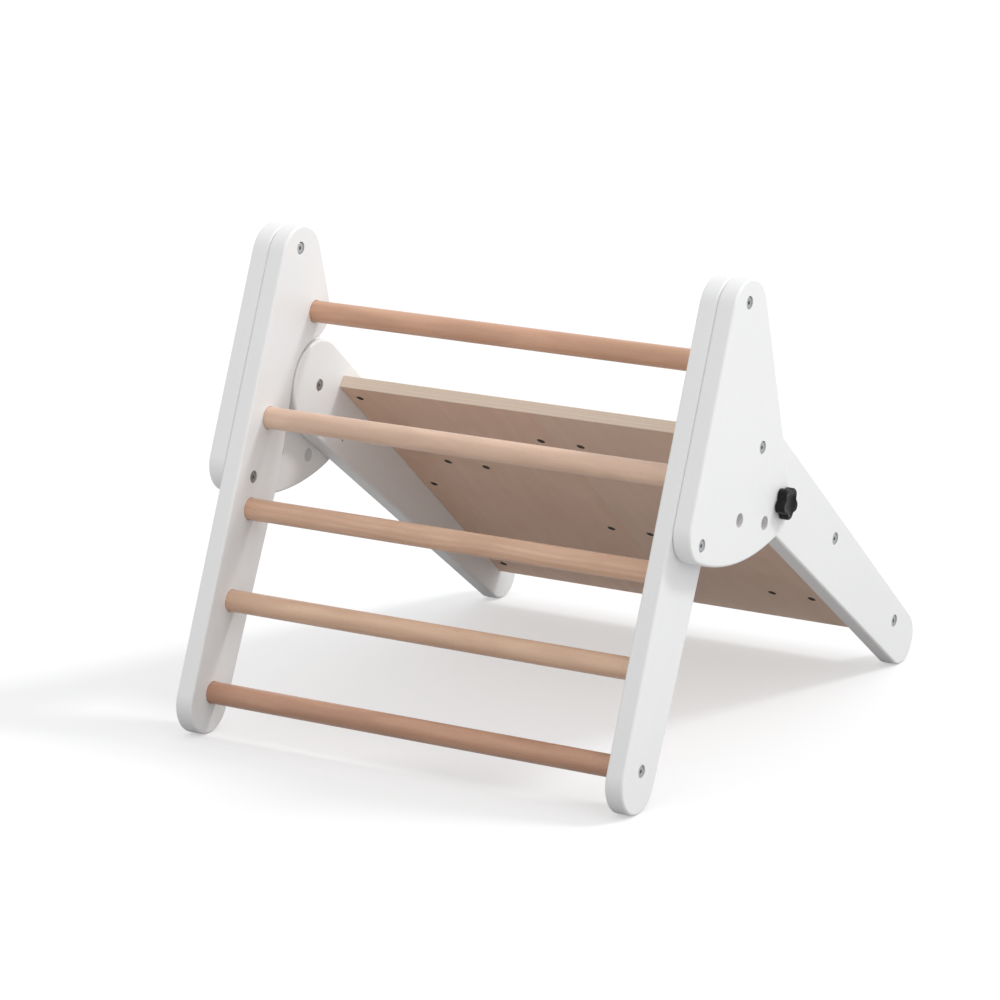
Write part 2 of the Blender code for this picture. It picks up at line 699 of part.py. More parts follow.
def build():
    """Make the ladder, the knobs and the rear frame."""
    for old in list(bpy.data.objects):
        bpy.data.objects.remove(old, do_unlink=True)
    finish = finishes()
    toe = (FRONT_FOOT_Y - FOOT_R * math.cos(LEAN), FOOT_R + FOOT_R * math.sin(LEAN))
    ladder = frame_empty("ladder_view", (0, *toe), -LEAN)
    rear = frame_empty("fold_axis", (0, PIVOT_Y, PIVOT_RISE), -SLOPE)
    meshes = connector_meshes()
    for label, side in SIDES.items():
        front_leg(label, side, finish["paint"], ladder)
        side_plate(label, side, finish["paint"], ladder)
        rear_leg(label, side, finish["paint"], rear)
        connector("plate_top", TOP_BOLT, side, finish["zinc"], ladder, meshes)
        connector("plate_low", LOW_BOLT, side, finish["zinc"], ladder, meshes)
        connector("pivot", PIVOT, side, finish["zinc"], ladder, meshes)
    rungs(finish["beech"], ladder)
    rung_screws(finish["zinc"], ladder)
    knobs(finish["plastic"], finish["zinc"])
    climbing_board(finish["ply"], rear)
    board_bolts(finish["zinc"], rear)
    barrel_nuts(finish["zinc"], rear)
    holds(finish["beech"], finish["zinc"], rear)


build()
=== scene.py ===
# %% [markdown]
# # A folding climbing triangle for toddlers
#
# The real thing is a low ladder of beech rungs between white painted legs, and a sloping
# birch plywood board that folds flat against it. The CAD model already says where each piece
# is and how it moves. This lesson dresses that model: it makes every visible piece again
# with finer edges, gives each one a finish made of nodes, and lights it as in a photo studio.

# %% Load the frame
import math

import bmesh
import bpy
from mathutils import Matrix, Vector
from mathutils.geometry import tessellate_polygon


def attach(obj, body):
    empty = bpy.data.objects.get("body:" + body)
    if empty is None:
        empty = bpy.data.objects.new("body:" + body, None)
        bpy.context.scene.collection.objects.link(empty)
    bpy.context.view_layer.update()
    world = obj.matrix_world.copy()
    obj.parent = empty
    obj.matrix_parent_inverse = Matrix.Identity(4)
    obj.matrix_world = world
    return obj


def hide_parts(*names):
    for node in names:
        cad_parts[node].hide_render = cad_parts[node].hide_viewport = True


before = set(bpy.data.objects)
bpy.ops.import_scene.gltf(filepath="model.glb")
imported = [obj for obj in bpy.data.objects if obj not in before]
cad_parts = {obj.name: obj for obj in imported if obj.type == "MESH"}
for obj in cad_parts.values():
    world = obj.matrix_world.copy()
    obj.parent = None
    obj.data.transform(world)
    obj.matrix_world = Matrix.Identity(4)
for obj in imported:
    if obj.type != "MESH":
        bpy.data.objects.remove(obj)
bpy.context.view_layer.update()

# %% [markdown]
# ## Sizes
#
# A furniture maker works from a few sizes and two side views. The ladder is drawn along its
# leaning leg, the rear leg along the slope of the board. The same numbers as in the CAD
# model are written here once, in metres, so that every piece made below fits its place.

# %% Sizes across the frame
CLEAR = 0.0003                      # gap kept between neighbouring pieces
INNER = 0.2625                      # half the clear width between the legs
BOARD = 0.0215                      # thickness of the painted boards
SEAM = INNER + BOARD                # outer face of the legs
PLATE_IN = SEAM + CLEAR
PLATE_OUT = PLATE_IN + BOARD
EDGE_ROUND = 0.003                  # round-over along the painted outlines
SIDES = {"left": -1, "right": 1}
print("width over the plates:", round(2 * PLATE_OUT, 4), "m")

# %% Sizes of the two side views
LEAN = math.radians(22.3)           # the ladder's front edge leans back from the vertical
FOOT_R = 0.037
TAPER = math.radians(2.45)          # the front leg's rear edge opens out going up
APEX_R = 0.0405
SHOULDER_R = 0.060                  # eases the corner between the rear edge and the hollow
HEAD_R = 0.053                      # head of the rear leg
RELIEF_GAP = 0.0035                 # from that head to the hollow behind the front leg
RELIEF_R = HEAD_R + RELIEF_GAP
REAR_LEG = 0.5266                   # from the pivot to the centre of the rear foot
REAR_FOOT_R = 0.032
LOCK_CIRCLE = 0.0867
LOCK_BELOW = math.radians(18.2)     # stud below the line from the pivot to the rear foot
FOLD_STOPS = (0.0, math.radians(28.9), math.radians(70.5))      # open, middle stop, folded
PLATE_SWEEP_R = 0.284               # bottom edge of the plate, swung from the top bolt
PLATE_CORNER_R = 0.034

# %% Points of the ladder's side view: back from the front edge, and up the leg
FOOT_C = Vector((FOOT_R, 0.0))
APEX_C = Vector((APEX_R, 0.5076))
PIVOT = Vector((0.130, 0.381))
TOP_BOLT = Vector((0.0325, 0.5205))
LOW_BOLT = Vector((0.0325, 0.2565))
TOP_RUNG = Vector((0.0895, 0.4595))
RUNG_BACK = 0.039
FIRST_RUNG_UP = 0.011
RUNG_PITCH = 0.105
RUNGS = [TOP_RUNG]
RUNGS += [Vector((RUNG_BACK, FIRST_RUNG_UP + RUNG_PITCH * step)) for step in (3, 2, 1, 0)]
print("rungs:", len(RUNGS), "at a pitch of", RUNG_PITCH, "m")

# %% [markdown]
# ## Drawing arcs
#
# All outlines are straight lines and arcs, as a router template would be. These helpers
# return points on an arc, the line that touches two circles, and the crossing of two lines.
# The chord error is a thirtieth of a millimetre, so no facet shows in the render.

# %% Arcs and tangents
CHORD_ERROR = 0.00003


def polar(centre, radius, angle):
    return Vector(centre) + radius * Vector((math.cos(angle), math.sin(angle)))


def heading(vector):
    return math.atan2(vector[1], vector[0])


def arc(centre, radius, start, end):
    step = 2 * math.acos(1 - CHORD_ERROR / radius)
    count = max(2, math.ceil(abs(end - start) / step))
    return [polar(centre, radius, start + (end - start) * i / count) for i in range(count + 1)]


def foot_arc(centre, radius, start, ground, end):
    """Arc of a foot, with one point where it touches the floor."""
    return arc(centre, radius, start, ground)[:-1] + arc(centre, radius, ground, end)


def tangent_normal(first, first_r, second, second_r):
    """Direction in which the line that touches two circles faces."""
    between = Vector(second) - Vector(first)
    return heading(between) - math.acos((first_r - second_r) / between.length)


def crossing(point, direction, other, other_direction):
    gap = Vector(other) - Vector(point)
    area = direction[0] * other_direction[1] - direction[1] * other_direction[0]
    reach = (gap[0] * other_direction[1] - gap[1] * other_direction[0]) / area
    return Vector(point) + Vector(direction) * reach


def rounded_corner(corner, normal_in, normal_out, radius):
    half = (normal_out - normal_in) / 2
    centre = polar(corner, -radius / math.cos(half), normal_in + half)
    return arc(centre, radius, normal_in, normal_out)


print("points round a foot:", len(arc(FOOT_C, FOOT_R, 0, math.pi)))

# %% [markdown]
# ## Where the two side views stand
#
# The rear leg starts at the pivot, and its round foot has to touch the floor. From that the
# slope of the board follows. Each side view becomes a matrix that stands its drawing upright
# in the world, leaning as the real piece leans.

# %% The rear leg's own points and the two views
REAR_FOOT = Vector((math.sqrt(REAR_LEG**2 - (HEAD_R - REAR_FOOT_R) ** 2), HEAD_R - REAR_FOOT_R))
REAR_AXIS = heading(REAR_FOOT)
STUD = polar((0, 0), LOCK_CIRCLE, REAR_AXIS - LOCK_BELOW)

PIVOT_RISE = FOOT_R + PIVOT.y * math.cos(LEAN) - (PIVOT.x - FOOT_R) * math.sin(LEAN)
PIVOT_RUN = PIVOT.y * math.sin(LEAN) + (PIVOT.x - FOOT_R) * math.cos(LEAN)
REAR_DIP = math.asin((PIVOT_RISE - REAR_FOOT_R) / REAR_LEG)
FRONT_FOOT_Y = -(PIVOT_RUN + REAR_LEG * math.cos(REAR_DIP) + REAR_FOOT_R - FOOT_R) / 2
PIVOT_Y = FRONT_FOOT_Y + PIVOT_RUN
SLOPE = REAR_DIP + REAR_AXIS

toe = (0, FRONT_FOOT_Y - FOOT_R * math.cos(LEAN), FOOT_R + FOOT_R * math.sin(LEAN))
LADDER_VIEW = Matrix.Translation(toe) @ Matrix.Rotation(-LEAN, 4, "X")
REAR_VIEW = Matrix.Translation((0, PIVOT_Y, PIVOT_RISE)) @ Matrix.Rotation(-SLOPE, 4, "X")
print("board falls at", round(math.degrees(SLOPE), 2), "degrees")


def rear_in_ladder_view(angle, fold):
    """A direction of the rear leg's view, as the ladder's view sees it at a fold."""
    return angle - SLOPE + LEAN - fold


# %% [markdown]
# ## The three painted outlines
#
# The front leg has a round foot, a rear edge that opens out going up, and a hollow behind
# that clears the head of the folded rear leg. The side plate is a sector with round corners.
# The rear leg is a long drop shape. Each function lists its points anticlockwise.

# %% Front leg outline
LOBE_R = (TOP_RUNG - PIVOT).length - RELIEF_R       # round behind the top rung
PLATE_NORMAL = tangent_normal(TOP_RUNG, LOBE_R, APEX_C, APEX_R)


def front_leg_outline():
    rear_normal = -TAPER
    rear_point = polar(FOOT_C, FOOT_R, rear_normal)
    rear_direction = (math.sin(TAPER), math.cos(TAPER))
    lower_normal = REAR_AXIS - math.acos((HEAD_R - REAR_FOOT_R) / REAR_LEG)
    relief_normal = rear_in_ladder_view(lower_normal, FOLD_STOPS[-1])
    relief_point = polar(PIVOT, RELIEF_R, relief_normal)
    relief_direction = (-math.sin(relief_normal), math.cos(relief_normal))
    shoulder = crossing(rear_point, rear_direction, relief_point, relief_direction)
    to_rung = heading(TOP_RUNG - PIVOT)
    return (
        foot_arc(FOOT_C, FOOT_R, math.pi, 1.5 * math.pi + LEAN, 2 * math.pi + rear_normal)
        + rounded_corner(shoulder, rear_normal, relief_normal + math.pi, SHOULDER_R)
        + arc(PIVOT, RELIEF_R, relief_normal + 2 * math.pi, to_rung)
        + arc(TOP_RUNG, LOBE_R, to_rung - math.pi, PLATE_NORMAL)[1:]
        + arc(APEX_C, APEX_R, PLATE_NORMAL, math.pi)
    )


# %% Side plate and rear leg outlines
def plate_outline():
    reach = PLATE_SWEEP_R - PLATE_CORNER_R
    drop = math.sqrt(reach**2 - (PLATE_CORNER_R - TOP_BOLT.x) ** 2)
    front = Vector((PLATE_CORNER_R, TOP_BOLT.y - drop))
    start = polar(APEX_C, APEX_R - PLATE_CORNER_R, PLATE_NORMAL)
    down = Vector((math.sin(PLATE_NORMAL), -math.cos(PLATE_NORMAL)))
    offset = start - TOP_BOLT
    along = -offset.dot(down)
    rear = start + down * (along + math.sqrt(along**2 - offset.length_squared + reach**2))
    front_turn = heading(front - TOP_BOLT)
    rear_turn = heading(rear - TOP_BOLT)
    return (
        arc(front, PLATE_CORNER_R, -math.pi, front_turn)
        + arc(TOP_BOLT, PLATE_SWEEP_R, front_turn, rear_turn)[1:-1]
        + arc(rear, PLATE_CORNER_R, rear_turn, PLATE_NORMAL)
        + arc(APEX_C, APEX_R, PLATE_NORMAL, math.pi)
    )


def rear_leg_outline():
    lower = tangent_normal((0, 0), HEAD_R, REAR_FOOT, REAR_FOOT_R)
    foot = foot_arc(REAR_FOOT, REAR_FOOT_R, lower, SLOPE - math.pi / 2, math.pi / 2)
    return foot + arc((0, 0), HEAD_R, math.pi / 2, lower + 2 * math.pi)


print("outline points:", len(front_leg_outline()), len(plate_outline()), len(rear_leg_outline()))

# %% [markdown]
# ## Small tools for meshes
#
# A mesh in Blender is vertices joined into faces. Most pieces here are loops of points that
# are stitched together, as a knitter joins rows. A turned piece is a stack of circles. A ring
# may also be a function of the angle, which gives star knobs and hexagon sockets.

# %% Loops and stitches
TURNED_SIDES = 48


def stitch(shape, loops):
    """Faces from each loop to the next."""
    for loop, other in zip(loops, loops[1:]):
        for i in range(len(loop)):
            j = (i + 1) % len(loop)
            shape.faces.new((loop[i], loop[j], other[j], other[i]))


def circle(shape, at, x, radius, sides=TURNED_SIDES):
    """Loop round X at a point of Y and Z. The radius is a number or a function of the angle."""
    loop = []
    for i in range(sides):
        angle = 2 * math.pi * i / sides
        reach = radius(angle) if callable(radius) else radius
        place = (x, at[0] + reach * math.cos(angle), at[1] + reach * math.sin(angle))
        loop.append(shape.verts.new(place))
    return loop


def quarter_turn(steps):
    """Sine and cosine at even steps through a right angle, for rounded edges."""
    turns = [math.pi / 2 * step / steps for step in range(steps + 1)]
    return [(math.sin(turn), math.cos(turn)) for turn in turns]


# %% Turned pieces
def smooth_mesh(shape, name, sharp=40):
    bmesh.ops.recalc_face_normals(shape, faces=shape.faces)
    mesh = bpy.data.meshes.new(name)
    shape.to_mesh(mesh)
    shape.free()
    mesh.shade_smooth()
    mesh.set_sharp_from_angle(angle=math.radians(sharp))
    return mesh


def turned(name, rings, sides=TURNED_SIDES, sharp=40):
    """Closed piece turned about X from rings of (place along X, radius)."""
    shape = bmesh.new()
    loops = [circle(shape, (0, 0), x, radius, sides) for x, radius in rings]
    stitch(shape, loops)
    shape.faces.new(loops[0])
    shape.faces.new(loops[-1])
    return smooth_mesh(shape, name, sharp)


# %% [markdown]
# ## Hanging a piece on the frame
#
# Every piece rides on one body of the CAD model, so it moves when the joint moves, and it
# replaces the plain CAD node that it stands for. Its mesh is carried from the side view, where
# it was drawn, to its place in the world. The weighted normals keep the large flat faces flat
# to the light, while the small rounded edges bend it.

# %% Place a finished piece
made_pieces = []


def new_object(name, data):
    made = bpy.data.objects.new(name, data)
    bpy.context.scene.collection.objects.link(made)
    return made


def show(name, mesh, finish, view, body, node):
    mesh.transform(view)
    for one in finish if isinstance(finish, list) else [finish]:
        mesh.materials.append(one)
    piece = new_object(name, mesh)
    weighted = piece.modifiers.new("flat faces stay flat", "WEIGHTED_NORMAL")
    weighted.mode = "FACE_AREA"
    weighted.weight = 50
    weighted.keep_sharp = True
    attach(piece, body)
    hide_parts(node)
    made_pieces.append(piece)
    return piece


# %% [markdown]
# ## Grain, once for every timber
#
# Beech and birch differ in colour more than in structure. Both show growth rings as long
# streaks, fine fibres, and in beech small dark flecks where the rays are cut. One node group
# holds that structure, with the grain running along X, and each timber sets its own amounts.

# %% Node helpers
def new_group(name, inputs, outputs):
    group = bpy.data.node_groups.new(name, "ShaderNodeTree")
    for label, kind, value in inputs:
        socket = group.interface.new_socket(label, in_out="INPUT", socket_type=kind)
        if value is not None:
            socket.default_value = value
    for label, kind in outputs:
        group.interface.new_socket(label, in_out="OUTPUT", socket_type=kind)
    return group, group.nodes.new("NodeGroupInput"), group.nodes.new("NodeGroupOutput")


def add(tree, kind, links=None, **settings):
    """New node with its links. A setting in_Some_Input goes to the input named Some Input."""
    node = tree.nodes.new(kind)
    for key, value in settings.items():
        if key.startswith("in_"):
            node.inputs[key[3:].replace("_", " ")].default_value = value
        else:
            setattr(node, key, value)
    for socket, source in (links or {}).items():
        tree.links.new(source, node.inputs[socket])
    return node


def math_node(tree, operation, first, second=None):
    node = add(tree, "ShaderNodeMath", operation=operation)
    for socket, value in zip(node.inputs, (first, second)):
        if isinstance(value, bpy.types.NodeSocket):
            tree.links.new(value, socket)
        elif value is not None:
            socket.default_value = value
    return node.outputs[0]


# %% Ramps, places and noise
def ramp(tree, source, low, high, low_value=0.0, high_value=1.0):
    """Smooth rise from one value to another, held flat outside."""
    node = add(
        tree, "ShaderNodeMapRange", {"Value": source}, interpolation_type="SMOOTHSTEP",
        in_From_Min=low, in_From_Max=high, in_To_Min=low_value, in_To_Max=high_value,
    )
    return node.outputs["Result"]


def mapped(tree, place, **settings):
    """The place moved, turned or stretched."""
    return add(tree, "ShaderNodeMapping", {"Vector": place}, **settings).outputs[0]


def noise(tree, place, scale, detail, roughness=0.5):
    node = add(tree, "ShaderNodeTexNoise", {"Vector": place}, in_Scale=scale, in_Detail=detail)
    node.inputs["Roughness"].default_value = roughness
    return node.outputs["Fac"]


# %% The grain group
RING_LIE = {"Y": 0.55, "Z": 0.83}   # share of each axis in the depth across the rings
RING_PULL = 6.0                     # their whole wander, as a multiple of the waviness


def build_grain():
    group, start, end = new_group(
        "timber_grain",
        [("Place", "NodeSocketVector", None), ("Ring Spacing", "NodeSocketFloat", 0.004),
         ("Waviness", "NodeSocketFloat", 0.004), ("Fleck Share", "NodeSocketFloat", 0.5)],
        [("Rings", "NodeSocketFloat"), ("Streaks", "NodeSocketFloat"),
         ("Flecks", "NodeSocketFloat"), ("Fibres", "NodeSocketFloat")],
    )
    place = start.outputs["Place"]

    def drawn_out(along, across, detail):
        """Noise drawn out along the grain. Along and across are its spots in a metre."""
        return noise(group, mapped(group, place, in_Scale=(along, across, across)), 1.0, detail)

    pulled = math_node(group, "SUBTRACT", drawn_out(4.5, 16, 2.0), 0.5)
    pulled = math_node(group, "MULTIPLY", pulled, start.outputs["Waviness"])
    pulled = math_node(group, "MULTIPLY", pulled, RING_PULL)
    axes = add(group, "ShaderNodeSeparateXYZ", {"Vector": place})
    across = [math_node(group, "MULTIPLY", axes.outputs[axis], lie) for axis, lie in RING_LIE.items()]
    depth = math_node(group, "ADD", math_node(group, "ADD", *across), pulled)
    saw = math_node(group, "FRACT", math_node(group, "DIVIDE", depth, start.outputs["Ring Spacing"]))
    early = ramp(group, saw, 0.0, 0.8)
    late = ramp(group, saw, 0.86, 1.0, 1.0, 0.0)
    group.links.new(math_node(group, "MULTIPLY", early, late), end.inputs["Rings"])

    streaks = ramp(group, drawn_out(3.0, 95, 4.0), 0.32, 0.68)
    group.links.new(streaks, end.inputs["Streaks"])

    fewer = math_node(group, "MULTIPLY", start.outputs["Fleck Share"], 0.22)
    edge = math_node(group, "SUBTRACT", 0.78, fewer)
    flecks = math_node(group, "SUBTRACT", drawn_out(260, 1300, 1.0), edge)
    group.links.new(ramp(group, flecks, 0.0, 0.06), end.inputs["Flecks"])

    group.links.new(drawn_out(40, 2400, 3.0), end.inputs["Fibres"])
    return group


timber_grain = build_grain()
print("grain group gives", [s.name for s in timber_grain.interface.items_tree if s.in_out == "OUTPUT"])

# %% [markdown]
# ## Handling marks
#
# Even a new play frame is not evenly shiny. Lacquer lies a little thicker in places, and
# hands polish it. This second group gives a slow change, a fine orange peel and faint dull
# smudges, which the finishes feed into their colour, roughness and bump.

# %% The surface group
def build_surface():
    group, start, end = new_group(
        "surface_life",
        [("Place", "NodeSocketVector", None), ("Peel Size", "NodeSocketFloat", 0.0012)],
        [("Drift", "NodeSocketFloat"), ("Peel", "NodeSocketFloat"), ("Smudge", "NodeSocketFloat")],
    )
    place = start.outputs["Place"]
    group.links.new(noise(group, place, 9.0, 2.0), end.inputs["Drift"])
    fine = math_node(group, "DIVIDE", 1.0, start.outputs["Peel Size"])
    peel = add(group, "ShaderNodeTexNoise", {"Vector": place, "Scale": fine}, in_Detail=1.5)
    group.links.new(peel.outputs["Fac"], end.inputs["Peel"])
    smudge = ramp(group, noise(group, place, 38.0, 5.0, 0.6), 0.5, 0.72)
    group.links.new(smudge, end.inputs["Smudge"])
    return group


surface_life = build_surface()
print("surface group gives", [s.name for s in surface_life.interface.items_tree if s.in_out == "OUTPUT"])

# %% [markdown]
# ## Starting a finish
#
# A finish is a material with one Principled shader. These helpers start one, place a group
# in it, blend two colours by a mask, and connect colour, roughness and bump. Grain has to
# follow the piece, so a finish can be given the view in which the piece was drawn, and undoes
# it.

# %% Material helpers
def start_finish(name, roughness, metallic=0.0, view=None):
    made = bpy.data.materials.new(name)
    made.use_nodes = True
    tree = made.node_tree
    shader = tree.nodes["Principled BSDF"]
    shader.inputs["Metallic"].default_value = metallic
    shader.inputs["Roughness"].default_value = roughness
    place = add(tree, "ShaderNodeTexCoord").outputs["Object"]
    if view:
        back = view.inverted()
        place = mapped(tree, place, in_Location=back.translation, in_Rotation=back.to_euler())
    return made, tree, shader, place


def use_group(tree, group, place, **amounts):
    node = add(tree, "ShaderNodeGroup")
    node.node_tree = group
    tree.links.new(place, node.inputs["Place"])
    for key, value in amounts.items():
        node.inputs[key.replace("_", " ")].default_value = value
    return node.outputs


def feed_shader(tree, shader, tone, rough, height, depth):
    """Connect colour, roughness and a bump, whose height of 1 stands for so many metres."""
    relief = add(tree, "ShaderNodeBump", {"Height": height}, in_Distance=depth)
    tree.links.new(tone, shader.inputs["Base Color"])
    tree.links.new(rough, shader.inputs["Roughness"])
    tree.links.new(relief.outputs["Normal"], shader.inputs["Normal"])


# %% Blending colours
def blend(tree, mask, first, second):
    node = add(tree, "ShaderNodeMix", data_type="RGBA", blend_type="MIX")
    tree.links.new(mask, node.inputs["Factor"])
    for label, value in (("A", first), ("B", second)):
        socket = [s for s in node.inputs if s.name == label and s.type == "RGBA"][0]
        if isinstance(value, bpy.types.NodeSocket):
            tree.links.new(value, socket)
        else:
            socket.default_value = (*value, 1.0)
    return [s for s in node.outputs if s.type == "RGBA"][0]


def lay_over(tree, tone, colour, mask, most, least=0.0):
    """Lay a colour over the tone: by the least share where the mask is 0, the most where it is 1."""
    return blend(tree, ramp(tree, mask, 0.0, 1.0, least, most), tone, colour)


def scaled(values, share):
    return tuple(share * value for value in values)


# %% [markdown]
# ## White paint
#
# The legs are sprayed white. Close up, the paint has a very fine peel, the timber's fibres
# just show through, and the film is thinner and a touch warmer on the rounded edges, where
# hands rub. Inside the holes the paint is drawn grey, as painted shade for the dim light deep
# in a bore. The mesh stores both places in its vertices, as values named rim and bore.

# %% Paint finish
PAINT = (0.886, 0.889, 0.891)
PAINT_DULLER = (0.856, 0.859, 0.861)
PAINT_OVER_GRAIN = (0.845, 0.842, 0.835)
# painted shade: the walls inside the holes are drawn grey, where little light reaches
PAINT_SHADE_IN_HOLES = (0.74, 0.735, 0.73)
PAINT_ON_RIMS = (0.86, 0.845, 0.815)


def paint_finish(name, turn, view):
    made, tree, shader, place = start_finish(name, 0.42, view=view)
    life = use_group(tree, surface_life, place, Peel_Size=0.0011)
    grain = use_group(tree, timber_grain, mapped(tree, place, in_Rotation=turn))
    tone = blend(tree, life["Drift"], PAINT_DULLER, PAINT)
    tone = lay_over(tree, tone, PAINT_OVER_GRAIN, grain["Streaks"], 0.12)
    # painted shade inside the holes, placed by the bore layer
    bore = add(tree, "ShaderNodeAttribute", attribute_name="bore").outputs["Fac"]
    tone = blend(tree, bore, tone, PAINT_SHADE_IN_HOLES)
    rim = add(tree, "ShaderNodeAttribute", attribute_name="rim").outputs["Fac"]
    worn = math_node(tree, "MULTIPLY", rim, ramp(tree, life["Smudge"], 0.0, 1.0, 0.15, 0.6))
    tone = blend(tree, worn, tone, PAINT_ON_RIMS)
    rough = ramp(tree, life["Smudge"], 0.0, 1.0, 0.40, 0.50)
    rough = math_node(tree, "SUBTRACT", rough, math_node(tree, "MULTIPLY", rim, 0.06))
    height = math_node(tree, "MULTIPLY", life["Peel"], 0.6)
    height = math_node(tree, "ADD", height, math_node(tree, "MULTIPLY", grain["Fibres"], 0.5))
    feed_shader(tree, shader, tone, rough, height, 0.00006)
    return made


paint_up = paint_finish("white_paint_grain_up", (0, math.pi / 2, 0), LADDER_VIEW)
paint_along = paint_finish("white_paint_grain_along", (0, 0, -math.pi / 2), REAR_VIEW)
print("paints:", paint_up.name, paint_along.name)

# %% [markdown]
# ## Painted boards
#
# Each board is an outline cut from 21.5 mm timber with a 3 mm round-over on both faces. The
# edge is built as a quarter circle of loops that step inwards, and the flat faces are filled
# round the mouths of the holes. A hole is a stack of circles from one face to the other. In
# the seam between a leg and its plate the paint has run into the groove, so there the quarter
# circle starts a little later.

# %% Round-overs
ROUND_STEPS = 6
PAINT_FILL = math.radians(5)


def round_over(start):
    """Points of a round-over: depth and step in, as shares of it, and how worn the paint is."""
    turns = [start + (math.pi / 2 - start) * step / ROUND_STEPS for step in range(ROUND_STEPS + 1)]
    points = [(1 - math.cos(turn), 1 - math.sin(turn), math.sin(2 * turn)) for turn in turns]
    return [(0.0, 1 - math.sin(start), 0.0)] + points if start else points


def inset(outline, distance):
    moved = []
    for i, point in enumerate(outline):
        before = (point - outline[i - 1]).normalized()
        after = (outline[(i + 1) % len(outline)] - point).normalized()
        normal = Vector((before.y + after.y, -before.x - after.x))
        normal /= normal.dot(Vector((before.y, -before.x)))
        moved.append(point - normal * distance)
    return moved


def rounded_edge(shape, outline, face, inward, start, rim):
    """Loops from the flat of a face out to the outline, with the wear kept in the rim layer."""
    loops = []
    for deep, step_in, worn in round_over(start):
        x = face + inward * EDGE_ROUND * deep
        loop = [shape.verts.new((x, *point)) for point in inset(outline, EDGE_ROUND * step_in)]
        for vert in loop:
            vert[rim] = worn
        loops.append(loop)
    return loops


# %% Board maker
HOLE_SIDES = 40
AT_MOUTH = 0.0002                   # paint this near a face is not yet inside a hole
SAME_POINT = 1e-6


def fill(shape, loops):
    """Flat face within the first loop, open where the other loops are."""
    corners = [vert for loop in loops for vert in loop]
    flat = [[Vector((vert.co.y, vert.co.z, 0)) for vert in loop] for loop in loops]
    for triangle in tessellate_polygon(flat):
        shape.faces.new([corners[i] for i in triangle])


def hole(shape, at, rings, low, high, bore):
    """Loops of one hole, with its inside kept in the bore layer."""
    loops = [circle(shape, at, x, radius, HOLE_SIDES) for x, radius in rings]
    for vert in (vert for loop in loops for vert in loop):
        depth = min(abs(vert.co.x - low), abs(vert.co.x - high))
        vert[bore] = 0.0 if depth < AT_MOUTH else 1.0
    stitch(shape, loops)
    return loops


def rounded_board(name, outline, low, high, holes, seam=None):
    outline = [p for i, p in enumerate(outline) if (p - outline[i - 1]).length > SAME_POINT]
    shape = bmesh.new()
    rim = shape.verts.layers.float.new("rim")
    bore = shape.verts.layers.float.new("bore")
    near = rounded_edge(shape, outline, low, 1, PAINT_FILL if low == seam else 0.0, rim)
    far = rounded_edge(shape, outline, high, -1, PAINT_FILL if high == seam else 0.0, rim)
    stitch(shape, near + far[::-1])
    flats = {low: [near[0]], high: [far[0]]}
    for at, rings in holes:
        loops = hole(shape, at, rings, low, high, bore)
        for (x, _), loop in ((rings[0], loops[0]), (rings[-1], loops[-1])):
            if x in flats:
                flats[x].append(loop)
            else:
                shape.faces.new(loop)
    for loops in flats.values():
        fill(shape, loops)
    return smooth_mesh(shape, name)


# %% [markdown]
# ## Holes of the painted boards
#
# Bolt heads sit in counterbores just below the paint, the rungs sit in blind sockets, and
# the plates have three locking holes for the collar of the stud. Every mouth is eased a
# little, because sharp painted edges chip. The paint all but closes the seam between a plate
# and its leg.

# %% Sizes of the holes and of what sits in them
BOLT_HEAD_R = 0.0065
HEAD_THICK = 0.0033
HEAD_SINK = 0.001                   # heads lie just below the paint
SLEEVE_R = 0.0044                   # sleeve nuts
SCREW_SHANK_R = 0.0025              # rung screws and board bolts
COUNTERBORE_R = 0.0072
COUNTERBORE = HEAD_SINK + HEAD_THICK + CLEAR
BORE_R = SLEEVE_R + CLEAR
THREAD_R = SCREW_SHANK_R + CLEAR

RUNG_R = 0.0125
RUNG_SOCKET = 0.012                 # depth of the blind sockets
SOCKET_R = RUNG_R + CLEAR
LOCK_HOLE_R = 0.0078
STUD_HOLE_R = 0.0043
MOUTH_EASE = 0.0004
LOCK_EASE = 0.0005
PAINTED_SEAM = SEAM + 0.00005
print("counterbores:", round(2000 * COUNTERBORE_R, 1), "mm wide,", round(1000 * COUNTERBORE, 1), "mm deep")


# %% Hole profiles
def eased_mouth(face, inward, radius, ease):
    return [
        (face + inward * ease * (1 - cosine), radius + ease * (1 - sine))
        for sine, cosine in quarter_turn(3)
    ]


def counterbored(face, other_face, deep):
    """Hole from one face to the other: wide for the head, then with the deep radius."""
    inward = 1 if other_face > face else -1
    step = face + inward * COUNTERBORE
    rings = eased_mouth(face, inward, COUNTERBORE_R, MOUTH_EASE)
    return rings + [(step, COUNTERBORE_R), (step, deep), (other_face, deep)]


def through(low, high, radius, ease):
    return eased_mouth(low, 1, radius, ease) + eased_mouth(high, -1, radius, ease)[::-1]


# %% Front legs and side plates
def show_board(kind, label, outline, low, high, holes, paint, view, body, seam=None):
    mesh = rounded_board(f"{kind}_board", outline, low, high, holes, seam)
    show(f"painted_{kind}_{label}", mesh, paint, view, body, f"{kind}_{label}")


def painted_front_leg(label, side):
    inner, outer = side * INNER, side * SEAM
    low, high = sorted((inner, outer))
    socket_end = side * (INNER + RUNG_SOCKET)
    socket = eased_mouth(inner, side, SOCKET_R, MOUTH_EASE) + [(socket_end, SOCKET_R)]
    screwed = counterbored(outer, inner, THREAD_R)[:-1] + [(socket_end, THREAD_R)] + socket[::-1]
    holes = [(at, counterbored(inner, outer, BORE_R)) for at in (TOP_BOLT, LOW_BOLT)]
    holes += [(at, socket) for at in RUNGS[:-1]]
    holes.append((RUNGS[-1], screwed))
    outline = front_leg_outline()
    show_board("front_leg", label, outline, low, high, holes, paint_up, LADDER_VIEW, "ladder", outer)


